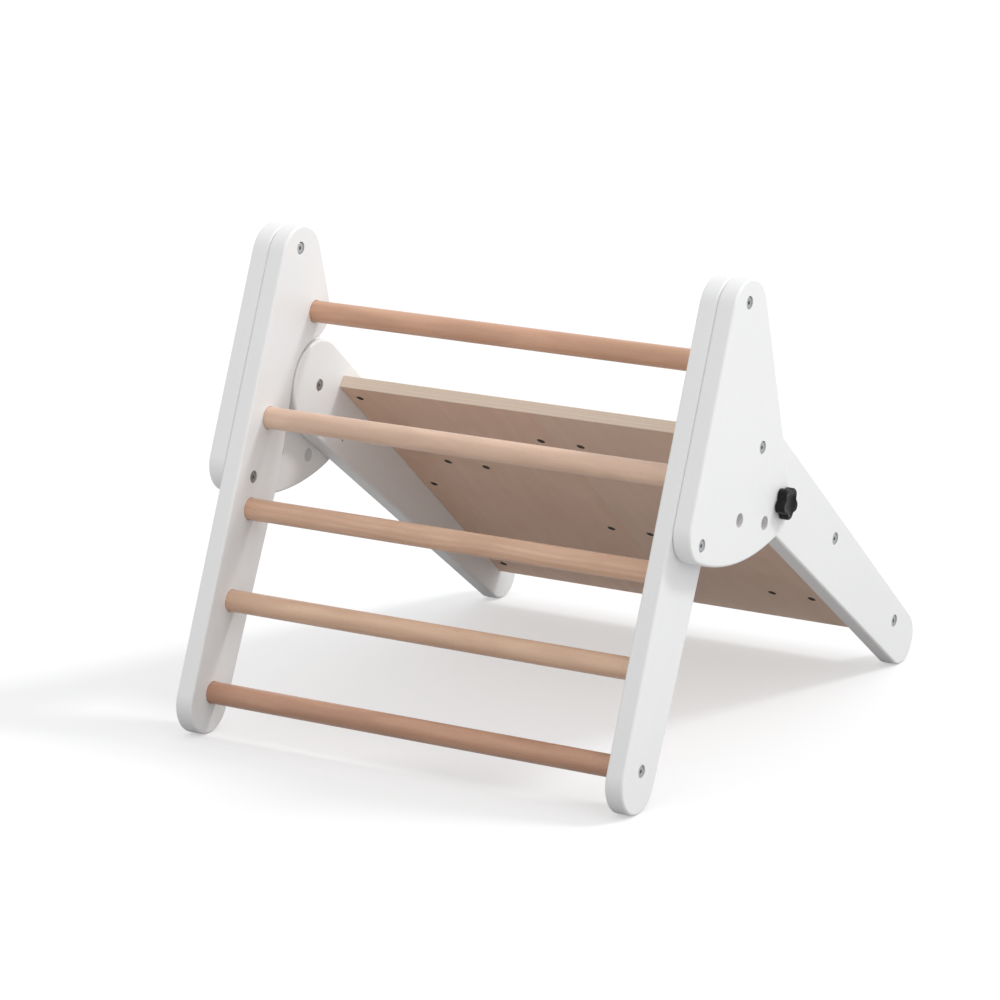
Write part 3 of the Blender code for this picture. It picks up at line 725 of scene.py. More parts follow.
def painted_side_plate(label, side):
    inner, outer = side * PAINTED_SEAM, side * PLATE_OUT
    low, high = sorted((inner, outer))
    holes = [(at, counterbored(outer, inner, BORE_R)) for at in (TOP_BOLT, LOW_BOLT, PIVOT)]
    for fold in FOLD_STOPS:
        at = polar(PIVOT, LOCK_CIRCLE, rear_in_ladder_view(heading(STUD), fold))
        holes.append((at, through(low, high, LOCK_HOLE_R, LOCK_EASE)))
    outline = plate_outline()
    show_board("side_plate", label, outline, low, high, holes, paint_up, LADDER_VIEW, "ladder", inner)


# %% Rear legs, with the board's place between them
PLY = 0.015
BOARD_UNDER = 0.0192                # underside of the climbing board, in the rear leg's view
BOARD_FACE = BOARD_UNDER + PLY
BOARD_MID = BOARD_UNDER + PLY / 2
BOARD_TOP = 0.0375                  # from the pivot down the slope
BOARD_LENGTH = 0.480
BOLT_MARGIN = 0.0255
BOLT_PITCH = BOARD_LENGTH / 2 - BOLT_MARGIN
BOARD_BOLTS = [Vector((BOARD_TOP + BOLT_MARGIN + BOLT_PITCH * i, BOARD_MID)) for i in range(3)]


def painted_rear_leg(label, side):
    inner, outer = side * INNER, side * SEAM
    low, high = sorted((inner, outer))
    holes = [((0.0, 0.0), counterbored(inner, outer, BORE_R))]
    holes.append((STUD, through(low, high, STUD_HOLE_R, MOUTH_EASE)))
    holes += [(at, counterbored(outer, inner, THREAD_R)) for at in BOARD_BOLTS]
    outline = rear_leg_outline()
    show_board("rear_leg", label, outline, low, high, holes, paint_along, REAR_VIEW, "rear_frame")


for label, side in SIDES.items():
    painted_front_leg(label, side)
    painted_side_plate(label, side)
    painted_rear_leg(label, side)
print("painted boards:", len(made_pieces), "faces in one leg:", len(made_pieces[0].data.polygons))

# %% [markdown]
# ## Beech
#
# The rungs are steamed beech under a clear matt lacquer: pinkish brown, with fine streaks
# along the rung and short dark flecks. No two rungs come from the same plank, so each gets
# its own tone, its own place in the grain and more or less figure, which is how clearly the
# growth rings show. The lacquer fills the pores, so the bump is low.

# %% Beech finish
def beech_finish(name, light, dark, figure, shift, view):
    made, tree, shader, place = start_finish(name, 0.45, view=view)
    shader.inputs["Specular IOR Level"].default_value = 0.75
    place = mapped(tree, place, in_Location=shift)
    life = use_group(tree, surface_life, place)
    grain = use_group(
        tree, timber_grain, place, Ring_Spacing=0.0075, Waviness=0.0050, Fleck_Share=0.62
    )
    cloud = noise(tree, mapped(tree, place, in_Scale=(11, 42, 42)), 1.0, 2.0)
    tone = lay_over(tree, light, dark, grain["Streaks"], 0.75, 0.1)
    tone = lay_over(tree, tone, scaled(dark, 0.80), grain["Rings"], figure)
    tone = blend(tree, ramp(tree, cloud, 0.38, 0.64, 0.0, 0.60), tone, scaled(dark, 0.86))
    fibres = ramp(tree, grain["Fibres"], 0.35, 0.75, 0.0, 0.18)
    tone = blend(tree, fibres, tone, scaled(light, 1.1))
    tone = lay_over(tree, tone, scaled(dark, 0.55), grain["Flecks"], 0.28)
    rough = ramp(tree, life["Smudge"], 0.0, 1.0, 0.34, 0.44)
    height = math_node(tree, "MULTIPLY", grain["Fibres"], 0.7)
    height = math_node(tree, "SUBTRACT", height, math_node(tree, "MULTIPLY", grain["Flecks"], 0.5))
    feed_shader(tree, shader, tone, rough, height, 0.00008)
    return made


# light and dark tone of each rung from the top, and how clearly its rings show
RUNG_TONES = [
    ((0.69, 0.400, 0.260), (0.60, 0.320, 0.195), 0.14),
    ((0.80, 0.572, 0.433), (0.715, 0.478, 0.350), 0.16),
    ((0.77, 0.505, 0.350), (0.66, 0.390, 0.258), 0.42),
    ((0.76, 0.520, 0.362), (0.68, 0.425, 0.285), 0.22),
    ((0.61, 0.345, 0.225), (0.52, 0.265, 0.165), 0.15),
]

# %% Rungs
RUNG_SIDES = 64
RUNG_SPANS = 12                     # rings along a rung, which keep its long faces short
RUNG_CHAMFER = 0.001
RUNG_END = INNER + RUNG_SOCKET - CLEAR
PLANK_STEP = (0.37, 0.06, 0.041)    # from one rung's place in the grain to the next
RUNG_ROLL = 1.3                     # turns each rung's grain another way up


def rung_rings():
    left_end = [(-RUNG_END, RUNG_R - RUNG_CHAMFER), (-RUNG_END + RUNG_CHAMFER, RUNG_R)]
    right_end = [(-x, radius) for x, radius in left_end[::-1]]
    span = 2 * RUNG_END / RUNG_SPANS
    return left_end + [(-RUNG_END + span * i, RUNG_R) for i in range(1, RUNG_SPANS)] + right_end


for number, at in enumerate(RUNGS, start=1):
    place = Matrix.Translation((0, *at)) @ Matrix.Rotation(RUNG_ROLL * number, 4, "X")
    view = LADDER_VIEW @ place
    tones = RUNG_TONES[number - 1]
    shift = scaled(PLANK_STEP, number)
    finish = beech_finish(f"beech_rung_{number}", *tones, shift, view)
    mesh = turned(f"rung_{number}_turned", rung_rings(), RUNG_SIDES)
    show(f"turned_rung_{number}", mesh, finish, view, "ladder", f"rung_{number}")
print("rungs turned:", len(RUNGS), "each", round(2 * RUNG_END, 4), "m long")

# %% [markdown]
# ## Birch plywood
#
# The board is 15 mm birch plywood of eleven plies. Its faces are peeled veneer with a calm,
# wide figure, laid as two sheets that meet in a straight joint. On top it keeps its pale
# tone; below it is painted brighter and redder, as painted light for the warm light bounced
# under the board. Its edges show the plies: pale long grain, darker end grain, and thin
# brown glue lines between them, which wander a little.

# %% Veneer finish
SHEET_JOINT = -0.005                # where the two sheets meet, from the middle of the board
# painted light: the underside tones are brighter and redder than the top, for the warm bounce under the
# board
UNDER_SHEET_PAINTED_LIGHT = ((0.875, 0.605, 0.455), (0.835, 0.560, 0.412))
UNDER_STREAK_PAINTED_LIGHT = (0.800, 0.520, 0.385)
UNDER_SECOND_PAINTED_LIGHT = (0.83, 0.630, 0.500)
TOP_SHEET = ((0.690, 0.560, 0.425), (0.645, 0.510, 0.375))
TOP_SECOND = (0.70, 0.590, 0.465)
RING_BROWN = (0.60, 0.41, 0.29)
DARK_BROWN = (0.36, 0.22, 0.15)


def veneer_finish():
    made, tree, shader, place = start_finish("birch_veneer", 0.50, view=REAR_VIEW)
    down_slope = mapped(tree, place, in_Rotation=(0, 0, math.pi / 2))
    life = use_group(tree, surface_life, place)
    grain = use_group(
        tree, timber_grain, down_slope, Ring_Spacing=0.03, Waviness=0.03, Fleck_Share=0.35
    )
    axes = add(tree, "ShaderNodeSeparateXYZ", {"Vector": place})
    second_sheet = ramp(tree, axes.outputs["X"], SHEET_JOINT - 0.0002, SHEET_JOINT + 0.0002)
    # the underside: its brighter, redder tone is painted light
    under = blend(tree, ramp(tree, life["Drift"], 0.35, 0.65), *UNDER_SHEET_PAINTED_LIGHT)
    under = lay_over(tree, under, UNDER_STREAK_PAINTED_LIGHT, grain["Streaks"], 0.35)
    under = lay_over(tree, under, UNDER_SECOND_PAINTED_LIGHT, second_sheet, 0.50)
    top = blend(tree, grain["Streaks"], *TOP_SHEET)
    top = lay_over(tree, top, TOP_SECOND, second_sheet, 0.20)
    on_top = ramp(tree, axes.outputs["Z"], BOARD_MID - 0.001, BOARD_MID + 0.001)
    tone = blend(tree, on_top, under, top)
    tone = lay_over(tree, tone, RING_BROWN, grain["Rings"], 0.10)
    from_joint = math_node(tree, "SUBTRACT", axes.outputs["X"], SHEET_JOINT)
    from_joint = math_node(tree, "ABSOLUTE", from_joint)
    tone = blend(tree, ramp(tree, from_joint, 0.0, 0.0006, 0.28, 0.0), tone, DARK_BROWN)
    tone = lay_over(tree, tone, DARK_BROWN, grain["Flecks"], 0.25)
    rough = ramp(tree, life["Smudge"], 0.0, 1.0, 0.46, 0.58)
    feed_shader(tree, shader, tone, rough, grain["Fibres"], 0.00008)
    return made


# %% Ply edge finish
PLIES = 11
PLY_WANDER = 0.0022
LONG_GRAIN = (0.85, 0.732, 0.610)
END_GRAIN = (0.72, 0.588, 0.475)
PLY_STREAK = (0.76, 0.622, 0.502)
GLUE = (0.42, 0.29, 0.20)


def plies_finish():
    made, tree, shader, place = start_finish("birch_plies", 0.58, view=REAR_VIEW)
    axes = add(tree, "ShaderNodeSeparateXYZ", {"Vector": place})
    wander = math_node(tree, "SUBTRACT", noise(tree, place, 14.0, 2.0), 0.5)
    wander = math_node(tree, "MULTIPLY", wander, PLY_WANDER)
    up = math_node(tree, "ADD", axes.outputs["Z"], wander)
    layer = math_node(tree, "DIVIDE", math_node(tree, "SUBTRACT", up, BOARD_UNDER), PLY / PLIES)
    number = math_node(tree, "FLOOR", layer)
    odd = math_node(tree, "MODULO", number, 2.0)
    own_tone = add(tree, "ShaderNodeTexWhiteNoise", {"W": number}, noise_dimensions="1D")
    shade = math_node(tree, "ADD", odd, own_tone.outputs["Value"])
    tone = blend(tree, math_node(tree, "MULTIPLY", shade, 0.5), LONG_GRAIN, END_GRAIN)
    tone = lay_over(tree, tone, PLY_STREAK, use_group(tree, timber_grain, place)["Streaks"], 0.4)
    from_middle = math_node(tree, "SUBTRACT", math_node(tree, "FRACT", layer), 0.5)
    glue = ramp(tree, math_node(tree, "ABSOLUTE", from_middle), 0.42, 0.49, 0.0, 0.35)
    tone = blend(tree, glue, tone, GLUE)
    life = use_group(tree, surface_life, place, Peel_Size=0.0008)
    rough = ramp(tree, life["Smudge"], 0.0, 1.0, 0.54, 0.64)
    feed_shader(tree, shader, tone, rough, life["Peel"], 0.00008)
    return made


veneer, plies = veneer_finish(), plies_finish()
print("plywood finishes:", veneer.name, plies.name)

# %% [markdown]
# ## The climbing board
#
# The board is a sheet with lightly sanded edges. It is drilled from below for six barrel nuts
# and twelve screws. The faces are filled round those mouths as on the painted boards, but
# here the sheet lies in the view's X and Y, so it is drawn flat and then turned.

# %% Places on the board
# rows of holds down the board, as shares of its length and of the clear width
HOLD_ROWS = ((0.151, (0.0,)), (0.351, (-0.32, 0.32)), (0.6094, (0.0,)), (0.8563, (-0.32, 0.32)))
HOLD_SCREWS = 0.052                 # between the two screws of a hold
BARREL_R = 0.0045
BARREL_LENGTH = 0.012
BARREL_INSET = 0.0155               # centre of a nut from the side of the board
SCREW_HEAD_R = 0.0049
SCREW_R = 0.002
HALF_BOARD = INNER - CLEAR
NUT_X = HALF_BOARD - BARREL_INSET
HOLDS = [
    (across * 2 * INNER, BOARD_TOP + down * BOARD_LENGTH) for down, row in HOLD_ROWS for across in row
]
SCREWS = [(x + side * HOLD_SCREWS / 2, along) for x, along in HOLDS for side in (-1, 1)]
print("holds:", len(HOLDS), "screws:", len(SCREWS), "board:", round(2 * HALF_BOARD, 4), "m wide")

# %% Mouths below the board
NUT_EASE = 0.0003
SCREW_RIM = 0.0002
SCREW_CONE = 0.0033
UNDRILLED = 0.0001                  # veneer left above a screw hole, under the hold


def nut_mouth():
    radius = BARREL_R + CLEAR
    end = BOARD_UNDER + BARREL_LENGTH + 2 * CLEAR
    return eased_mouth(BOARD_UNDER, 1, radius, NUT_EASE) + [(end, radius)]


def screw_mouth():
    head, shank = SCREW_HEAD_R + CLEAR, SCREW_R + CLEAR
    return [
        (BOARD_UNDER, head + SCREW_RIM), (BOARD_UNDER + CLEAR, head),
        (BOARD_UNDER + SCREW_CONE, shank), (BOARD_FACE - UNDRILLED, shank),
    ]


# %% Board mesh
BOARD_EDGE = 0.0008
MOUTH_SIDES = 32
EDGE_TILT = 0.75                    # faces that look less up or down than this show the plies

# turns the maker's X (thickness), Y and Z into the board's normal, across and down the slope
FLAT = Matrix(((0, 1, 0, 0), (0, 0, 1, 0), (1, 0, 0, 0), (0, 0, 0, 1)))


def sanded_edge(shape, face, inward):
    near, far = BOARD_TOP, BOARD_TOP + BOARD_LENGTH
    corners = ((-HALF_BOARD, near), (HALF_BOARD, near), (HALF_BOARD, far), (-HALF_BOARD, far))
    outline = [Vector(corner) for corner in corners]
    loops = []
    for sine, cosine in quarter_turn(3):
        level = face + inward * BOARD_EDGE * (1 - cosine)
        points = inset(outline, BOARD_EDGE * (1 - sine))
        loops.append([shape.verts.new((level, *point)) for point in points])
    return loops


def plywood_mesh():
    shape = bmesh.new()
    under = sanded_edge(shape, BOARD_UNDER, 1)
    top = sanded_edge(shape, BOARD_FACE, -1)
    stitch(shape, under + top[::-1])
    mouths = [((x, at.x), nut_mouth()) for x in (-NUT_X, NUT_X) for at in BOARD_BOLTS]
    mouths += [(at, screw_mouth()) for at in SCREWS]
    openings = []
    for at, rings in mouths:
        loops = [circle(shape, at, x, radius, MOUTH_SIDES) for x, radius in rings]
        stitch(shape, loops)
        openings.append(loops[0])
        shape.faces.new(loops[-1])
    fill(shape, [under[0]] + openings)
    fill(shape, [top[0]])
    bmesh.ops.transform(shape, matrix=FLAT, verts=shape.verts)
    shape.normal_update()
    for face in shape.faces:
        face.material_index = 1 if abs(face.normal.z) < EDGE_TILT else 0
    return smooth_mesh(shape, "plywood_sheet")


board = show(
    "birch_climbing_board", plywood_mesh(), [veneer, plies],
    REAR_VIEW, "rear_frame", "climbing_board",
)
print("board faces:", len(board.data.polygons))

# %% [markdown]
# ## Climbing holds
#
# Six low holds are screwed to the upper face from below. They are shaped like river pebbles,
# carved from beech and sanded round, so that small hands and bare feet like them. An oval
# stack of rings is enough for such a shape, with the rings closer together where it curves.

# %% Hold mesh
HOLD_WIDTH = 0.088
HOLD_DEPTH = 0.056
HOLD_HEIGHT = 0.020
HOLD_SIDES = 72
DOME_STEPS = 16
DOME_FULLNESS = 2.4                 # 2 would be an ellipse, more is boxier
HOLD_STEP = (0.21, 0.33, 0.017)     # from one hold's place in the grain to the next


def pebble_rings():
    """Rings of a pebble of height 1 and radius 1, with its foot drawn in."""
    foot = [(0.0, 0.955), (0.02, 0.972), (0.06, 0.99), (0.12, 1.0)]
    widest = foot[-1][0]
    dome = []
    for rise, _ in quarter_turn(DOME_STEPS)[1:-1]:
        dome.append((widest + (1 - widest) * rise, (1 - rise**2) ** (1 / DOME_FULLNESS)))
    return foot + dome + [(1.0, 0.02)]


def pebble_mesh(name):
    mesh = turned(name, pebble_rings(), HOLD_SIDES, 60)
    mesh.transform(Matrix.Diagonal((HOLD_HEIGHT, HOLD_DEPTH / 2, HOLD_WIDTH / 2, 1)))
    mesh.transform(Matrix.Rotation(-math.pi / 2, 4, "Y"))
    return mesh


for number, (x, along) in enumerate(HOLDS, start=1):
    tones = RUNG_TONES[number % len(RUNG_TONES)]
    view = REAR_VIEW @ Matrix.Translation((x, along, BOARD_FACE + CLEAR))
    shift = scaled(HOLD_STEP, number)
    finish = beech_finish(f"beech_hold_{number}", *tones, shift, view)
    mesh = pebble_mesh(f"hold_{number}_shape")
    show(f"pebble_hold_{number}", mesh, finish, view, "rear_frame", f"climbing_hold_{number}")
print("holds carved:", len(HOLDS))

# %% [markdown]
# ## Steel
#
# The bolts are zinc plated steel, bright but slightly clouded, with a hexagon socket for a
# key. Metal takes its look from what it mirrors, so the roughness matters more than the
# colour. The screws and barrel nuts below the board have a dull brown phosphate coat, which
# mirrors little; their dark brown is also painted shade for the holes they sit in.

# %% Steel finishes
def steel_finish(name, bright, dull, low, high, metallic=1.0, mirror=0.5):
    made, tree, shader, place = start_finish(name, low, metallic)
    shader.inputs["Specular IOR Level"].default_value = mirror
    life = use_group(tree, surface_life, place, Peel_Size=0.0006)
    tone = blend(tree, life["Smudge"], bright, dull)
    rough = ramp(tree, life["Peel"], 0.3, 0.7, low, high)
    feed_shader(tree, shader, tone, rough, life["Peel"], 0.00002)
    return made


zinc = steel_finish("zinc_plated_steel", (0.47, 0.48, 0.49), (0.38, 0.39, 0.40), 0.26, 0.42)
# dark brown of the screws and barrel nuts: partly their phosphate coat, partly painted shade of their
# holes
dark_coat_and_shade = steel_finish(
    "phosphated_steel_and_painted_shade", (0.075, 0.052, 0.038), (0.045, 0.032, 0.024), 0.55, 0.70,
    metallic=0.0, mirror=0.15,
)
print("steels:", zinc.name, dark_coat_and_shade.name)

# %% [markdown]
# ## Bolts and sleeve nuts
#
# A plate is held to its leg by a bolt from outside and a sleeve nut from inside, with the
# same flat head. The head is a stack of circles that changes to a hexagon where the socket
# goes down. The hexagon ring is a function that gives the distance to its side at each angle.

# %% Headed fasteners
HEAD_EDGE = 0.0008                  # round-over of a head
KEY_ACROSS = 0.004                  # hexagon socket, across its flats
KEY_RIM = 0.0029                    # radius where the head slopes into the socket
KEY_DEEP = 0.0024
KEY_END = 0.003                     # deepest point of the socket's cone


def hexagon(across_flats):
    def reach(angle):
        return across_flats / 2 / math.cos((angle % (math.pi / 3)) - math.pi / 6)
    return reach


def headed(name, length, shank):
    """Bolt along X with the underside of its head at X = 0 and its shank towards -X."""
    rings = [(-length, shank * 0.86), (-length + 0.0006, shank), (0.0, shank)]
    rings += [(0.0, BOLT_HEAD_R - 0.0002), (0.0003, BOLT_HEAD_R)]
    for sine, cosine in quarter_turn(4):
        rings.append((HEAD_THICK - HEAD_EDGE * (1 - sine), BOLT_HEAD_R - HEAD_EDGE * (1 - cosine)))
    key = hexagon(KEY_ACROSS)
    rings += [(HEAD_THICK, KEY_RIM), (HEAD_THICK - 0.0002, key)]
    rings += [(HEAD_THICK - KEY_DEEP, key), (HEAD_THICK - KEY_END, 0.0003)]
    return turned(name, rings, sharp=35)


def facing(side):
    return Matrix.Rotation(0 if side > 0 else math.pi, 4, "Z")


def fasten(node, length, shank, view, x, at, side, body):
    place = view @ Matrix.Translation((x, *at)) @ facing(side)
    show(f"zinc_{node}", headed(node, length, shank), zinc, place, body, node)


# %% Bolts and sleeve nuts of the plates
SHANK_R = 0.003
SLEEVE = 0.0045                     # length of the nut's sleeve
SLEEVE_GAP = 0.0002                 # from the sleeve to the end of the bolt
GRIP = PLATE_OUT - INNER - 2 * (HEAD_SINK + HEAD_THICK)

for label, side in SIDES.items():
    bolt_x = side * (PLATE_OUT - HEAD_SINK - HEAD_THICK)
    nut_x = side * (INNER + HEAD_SINK + HEAD_THICK)
    bolt_length = GRIP - SLEEVE - SLEEVE_GAP
    for place_name, at in (("plate_top", TOP_BOLT), ("plate_low", LOW_BOLT), ("pivot", PIVOT)):
        bolt, nut = f"{place_name}_bolt_{label}", f"{place_name}_nut_{label}"
        fasten(bolt, bolt_length, SHANK_R, LADDER_VIEW, bolt_x, at, side, "ladder")
        fasten(nut, SLEEVE, SLEEVE_R, LADDER_VIEW, nut_x, at, -side, "ladder")
print("bolts grip", round(GRIP, 4), "m")

# %% Screws of the lowest rung and bolts of the board
RUNG_SCREW = 0.033
BOARD_BOLT = 0.039

for label, side in SIDES.items():
    x = side * (SEAM - HEAD_SINK - HEAD_THICK)
    screw = f"rung_screw_{label}"
    fasten(screw, RUNG_SCREW, SCREW_SHANK_R, LADDER_VIEW, x, RUNGS[-1], side, "ladder")
    for number, at in enumerate(BOARD_BOLTS, start=1):
        bolt = f"board_bolt_{label}_{number}"
        fasten(bolt, BOARD_BOLT, SCREW_SHANK_R, REAR_VIEW, x, at, side, "rear_frame")
print("pieces so far:", len(made_pieces))

# %% [markdown]
# ## Fasteners below the board
#
# The barrel nuts have a slot in their end, so that a screwdriver can line up their thread,
# and the hold screws have a cross recess. Both are small, so they are rings again: the cross
# is a ring whose reach jumps between its arms and its waist.

# %% Barrel nuts
BARREL_EDGE = 0.0003
SLOT_LONG = 0.0068
SLOT_WIDE = 0.0012
SLOT_DEEP = 0.0014


def barrel_mesh(name):
    """Nut standing on X = 0 along X, slotted at its lower end, then stood up along Z."""
    shape = bmesh.new()
    rings = [
        (0.0, BARREL_R - 0.0005), (BARREL_EDGE, BARREL_R),
        (BARREL_LENGTH - BARREL_EDGE, BARREL_R), (BARREL_LENGTH, BARREL_R - 0.0004),
    ]
    loops = [circle(shape, (0, 0), x, radius, HOLE_SIDES) for x, radius in rings]
    stitch(shape, loops)
    shape.faces.new(loops[-1])
    corners = [(y * SLOT_LONG / 2, z * SLOT_WIDE / 2) for y, z in ((-1, -1), (1, -1), (1, 1), (-1, 1))]
    slot = [[shape.verts.new((level, *corner)) for corner in corners] for level in (0.0, SLOT_DEEP)]
    stitch(shape, slot)
    shape.faces.new(slot[1])
    fill(shape, [loops[0], slot[0]])
    bmesh.ops.rotate(shape, verts=shape.verts, matrix=Matrix.Rotation(-math.pi / 2, 3, "Y"))
    return smooth_mesh(shape, name)


for label, side in SIDES.items():
    for number, at in enumerate(BOARD_BOLTS, start=1):
        node = f"board_nut_{label}_{number}"
        view = REAR_VIEW @ Matrix.Translation((side * NUT_X, at.x, BOARD_UNDER + CLEAR))
        show(f"slotted_{node}", barrel_mesh(node), dark_coat_and_shade, view, "rear_frame", node)
print("barrel nuts:", 2 * len(BOARD_BOLTS))

# %% Hold screws
SCREW_LENGTH = 0.025
SCREW_TIP = 0.0035
HEAD_CONE = 0.0029


def cross_recess(arm, waist):
    def reach(angle):
        return waist + (arm - waist) * max(0.0, math.cos(2 * angle) ** 8)
    return reach


def screw_mesh(name):
    """Countersunk screw that goes up along X from its head at X = 0, then stood up along Z."""
    rings = [(0.0018, 0.0002), (0.0014, cross_recess(0.0012, 0.0005))]
    rings += [(0.0, cross_recess(0.0021, 0.0008)), (0.0, SCREW_HEAD_R - 0.0002)]
    rings += [(0.0002, SCREW_HEAD_R), (HEAD_CONE, SCREW_R)]
    rings += [(SCREW_LENGTH - SCREW_TIP, SCREW_R), (SCREW_LENGTH, 0.0004)]
    mesh = turned(name, rings, sharp=30)
    mesh.transform(Matrix.Rotation(-math.pi / 2, 4, "Y"))
    return mesh


for number, (x, along) in enumerate(SCREWS, start=1):
    node = f"hold_screw_{number}"
    view = REAR_VIEW @ Matrix.Translation((x, along, BOARD_UNDER + CLEAR))
    show(f"coated_{node}", screw_mesh(node), dark_coat_and_shade, view, "rear_frame", node)
print("hold screws:", len(SCREWS))

# %% [markdown]
# ## Star knobs
#
# Each knob is moulded in black nylon with five round lobes. Moulded plastic is satin, with a
# fine spark texture, and its edges are soft. The lobes come from a ring function again, and
# a stack of such rings gives the foot, the full body, the rounded shoulder and the dish.

# %% Plastic finish
def plastic_finish():
    made, tree, shader, place = start_finish("black_nylon", 0.40)
    shader.inputs["Specular IOR Level"].default_value = 0.20
    life = use_group(tree, surface_life, place, Peel_Size=0.0005)
    tone = blend(tree, life["Smudge"], (0.0060, 0.0055, 0.0056), (0.0100, 0.0092, 0.0095))
    rough = ramp(tree, life["Smudge"], 0.0, 1.0, 0.28, 0.40)
    feed_shader(tree, shader, tone, rough, life["Peel"], 0.00005)
    return made


nylon = plastic_finish()
print("plastic:", nylon.name)

# %% Knob mesh
KNOB_R = 0.0185
KNOB_HEIGHT = 0.011
KNOB_SIDES = 120
LOBES = 5
LOBE_DEPTH = 0.0042
LOBE_TURN = math.radians(46.8)      # direction of the first lobe
STUD_BORE_R = 0.0043
STUD_BORE = 0.0075                  # depth of the stud in the knob
KNOB_FOOT_R = 0.0105
FOOT_ROUND = (0.0012, 0.0022)       # height and width of the rounding at the foot
SHOULDER_ROUND = 0.0026
DISH_RIM = (0.0134, 0.0024)         # radius and depth of the lobes where the dish begins
# depth below the top, and radius
DISH = ((0.0011, 0.0104), (0.0020, 0.0085), (0.0029, 0.0055), (0.0032, 0.0008))


def lobed(radius, depth):
    def reach(angle):
        return radius - depth * (0.5 - 0.5 * math.cos(LOBES * (angle - LOBE_TURN))) ** 1.5
    return reach


def knob_mesh(name):
    """Knob that stands out along X from its foot at X = 0."""
    rings = [(STUD_BORE, STUD_BORE_R), (0.0, STUD_BORE_R), (0.0, KNOB_FOOT_R)]
    high, wide = FOOT_ROUND
    for sine, cosine in quarter_turn(3):
        rings.append((high * (1 - cosine), lobed(KNOB_R - wide * (1 - sine), LOBE_DEPTH)))
    for step, (sine, cosine) in enumerate(quarter_turn(6)):
        radius = KNOB_R - SHOULDER_ROUND * (1 - cosine)
        shallower = LOBE_DEPTH * (1 - 0.1 * step / 6)
        rings.append((KNOB_HEIGHT - SHOULDER_ROUND * (1 - sine), lobed(radius, shallower)))
    rings.append((KNOB_HEIGHT - 0.0002, lobed(*DISH_RIM)))
    rings += [(KNOB_HEIGHT - deep, radius) for deep, radius in DISH]
    return turned(name, rings, KNOB_SIDES, 50)


# %% Knobs on their studs
lock_at = polar((PIVOT_Y, PIVOT_RISE), LOCK_CIRCLE, heading(STUD) - SLOPE)
for label, side in SIDES.items():
    node = f"star_knob_{label}"
    view = Matrix.Translation((side * (PLATE_OUT + CLEAR), *lock_at)) @ facing(side)
    mesh = knob_mesh(f"knob_{label}_moulding")
    show(f"nylon_{node}", mesh, nylon, view, f"knob_{label}", node)
    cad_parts[f"knob_stud_{label}"].data.materials[0] = zinc
print("pieces made:", len(made_pieces))

# %% [markdown]
# ## The studio
#
# The photo was taken against white. The key light stands to the right, behind and above, and
# is large, so shadows are soft. A white surround fills the rest, a little brighter to the
# right and above, where a wide soft light stands. The floor and the world look white to the
# camera and mostly in reflections, but light the object at a plain level. Close to the object
# the floor throws back less light than further off, so legs and rungs grow darker towards the
# ground.

# %% World
SURROUND = 0.785
SIDE_LIGHT = 0.41
TO_SIDE_LIGHT = (0.90, 0.06, 0.42)


def seen_directly(tree, mirrored):
    """One for camera rays, a share for mirror rays, zero for the rays that light the object."""
    path = add(tree, "ShaderNodeLightPath")
    share = math_node(tree, "MULTIPLY", path.outputs["Is Glossy Ray"], mirrored)
    return math_node(tree, "MAXIMUM", path.outputs["Is Camera Ray"], share)


world = bpy.data.worlds.new("white_studio")
bpy.context.scene.world = world
world.use_nodes = True
sky = world.node_tree
backdrop = sky.nodes["Background"]
towards = add(sky, "ShaderNodeTexCoord").outputs["Generated"]
near_side = add(sky, "ShaderNodeVectorMath", operation="DOT_PRODUCT")
sky.links.new(towards, near_side.inputs[0])
near_side.inputs[1].default_value = TO_SIDE_LIGHT
lobe = math_node(sky, "MAXIMUM", near_side.outputs["Value"], 0.0)
lobe = math_node(sky, "MULTIPLY", math_node(sky, "POWER", lobe, 2.0), SIDE_LIGHT)
level = math_node(sky, "ADD", SURROUND, lobe)
direct = seen_directly(sky, 1.0)
lighting = math_node(sky, "MULTIPLY", level, math_node(sky, "SUBTRACT", 1.0, direct))
sky.links.new(math_node(sky, "ADD", lighting, direct), backdrop.inputs["Strength"])
backdrop.inputs["Color"].default_value = (1, 1, 1, 1)
print("surround:", SURROUND, "and up to", SIDE_LIGHT, "more from the side")

# %% Floor
FLOOR_HALF = 20
FLOOR_NEAR = (0.5, 0.35)            # distance from the middle, and how much light it throws back
FLOOR_FAR = (1.8, 0.66)
FLOOR_SHOWN = (0.518, 0.522, 0.528, 1)
FLOOR_GLOW = 0.47
FLOOR_MIRRORED = 0.6

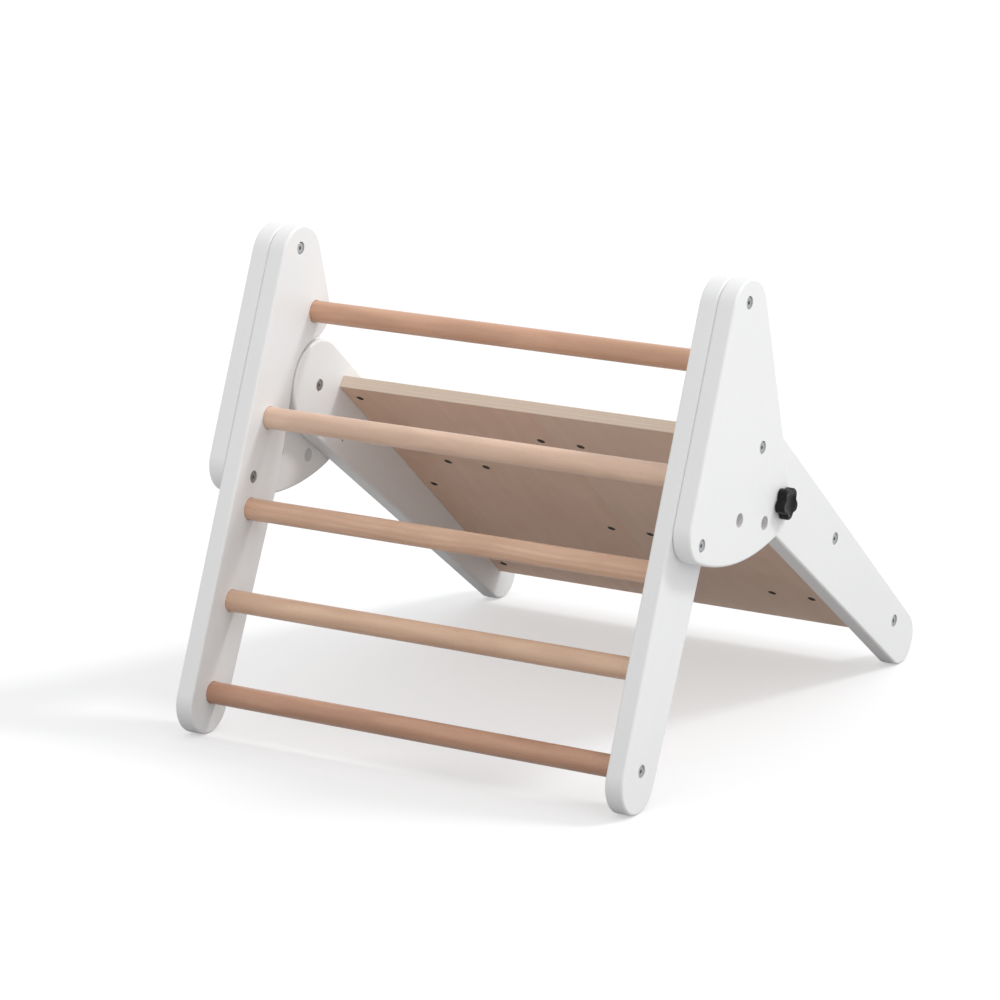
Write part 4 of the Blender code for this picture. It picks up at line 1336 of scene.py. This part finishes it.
corners = [(x * FLOOR_HALF, y * FLOOR_HALF, 0) for x, y in ((-1, -1), (1, -1), (1, 1), (-1, 1))]
floor_mesh = bpy.data.meshes.new("studio_floor")
floor_mesh.from_pydata(corners, [], [(0, 1, 2, 3)])
floor = new_object("studio_floor", floor_mesh)
floor_finish = bpy.data.materials.new("white_floor")
floor_finish.use_nodes = True
ground = floor_finish.node_tree
ground.nodes.remove(ground.nodes["Principled BSDF"])
spot = add(ground, "ShaderNodeTexCoord").outputs["Object"]
away = add(ground, "ShaderNodeVectorMath", operation="LENGTH")
ground.links.new(spot, away.inputs[0])
throws_back = ramp(
    ground, away.outputs["Value"], FLOOR_NEAR[0], FLOOR_FAR[0], FLOOR_NEAR[1], FLOOR_FAR[1]
)
lit = add(ground, "ShaderNodeBsdfDiffuse", {"Color": throws_back})
shown = add(ground, "ShaderNodeBsdfDiffuse", in_Color=FLOOR_SHOWN)
glow = add(ground, "ShaderNodeEmission", in_Color=(1, 1, 1, 1), in_Strength=FLOOR_GLOW)
pale = add(ground, "ShaderNodeAddShader")
choice = add(ground, "ShaderNodeMixShader")
sources = (shown.outputs[0], glow.outputs[0])
for socket, source in zip(pale.inputs, sources):
    ground.links.new(source, socket)
sources = (seen_directly(ground, FLOOR_MIRRORED), lit.outputs[0], pale.outputs[0])
for socket, source in zip(choice.inputs, sources):
    ground.links.new(source, socket)
ground.links.new(choice.outputs[0], ground.nodes["Material Output"].inputs["Surface"])
floor_mesh.materials.append(floor_finish)
print("floor:", 2 * FLOOR_HALF, "m square")

# %% Key light
TOWARDS_KEY = Vector((0.85, 0.75, 1.15))

key_data = bpy.data.lights.new("key_light", "SUN")
key_data.energy = 1.08
key_data.angle = math.radians(12)
key = new_object("key_light", key_data)
key.rotation_euler = TOWARDS_KEY.to_track_quat("Z", "Y").to_euler()
print("key light stands", round(math.degrees(math.asin(TOWARDS_KEY.normalized().z)), 1), "degrees high")

# %% [markdown]
# ## The camera
#
# The camera was found from the photo: a long lens about five metres away, a little above the
# object and to its right. Its three axes are written as rows and turned into a matrix, which
# places it exactly.

# %% Camera
CAMERA_AT = (2.3207, -4.0775, 1.4565)
TO_RIGHT = Vector((0.86158, 0.50762, 0.00381))
TO_TOP = Vector((-0.13119, 0.21543, 0.96769))
TO_BACK = Vector((0.49037, -0.83425, 0.25220))

camera_data = bpy.data.cameras.new("photo_camera")
camera_data.lens = 153.27
camera_data.sensor_width = 36.0
camera = new_object("photo_camera", camera_data)
axes = Matrix((TO_RIGHT, TO_TOP, TO_BACK)).transposed().to_4x4()
camera.matrix_world = Matrix.Translation(CAMERA_AT) @ axes
bpy.context.scene.camera = camera
bpy.context.scene.view_settings.view_transform = "Standard"
print("camera stands", round(Vector(CAMERA_AT).length, 1), "m from the middle of the floor")
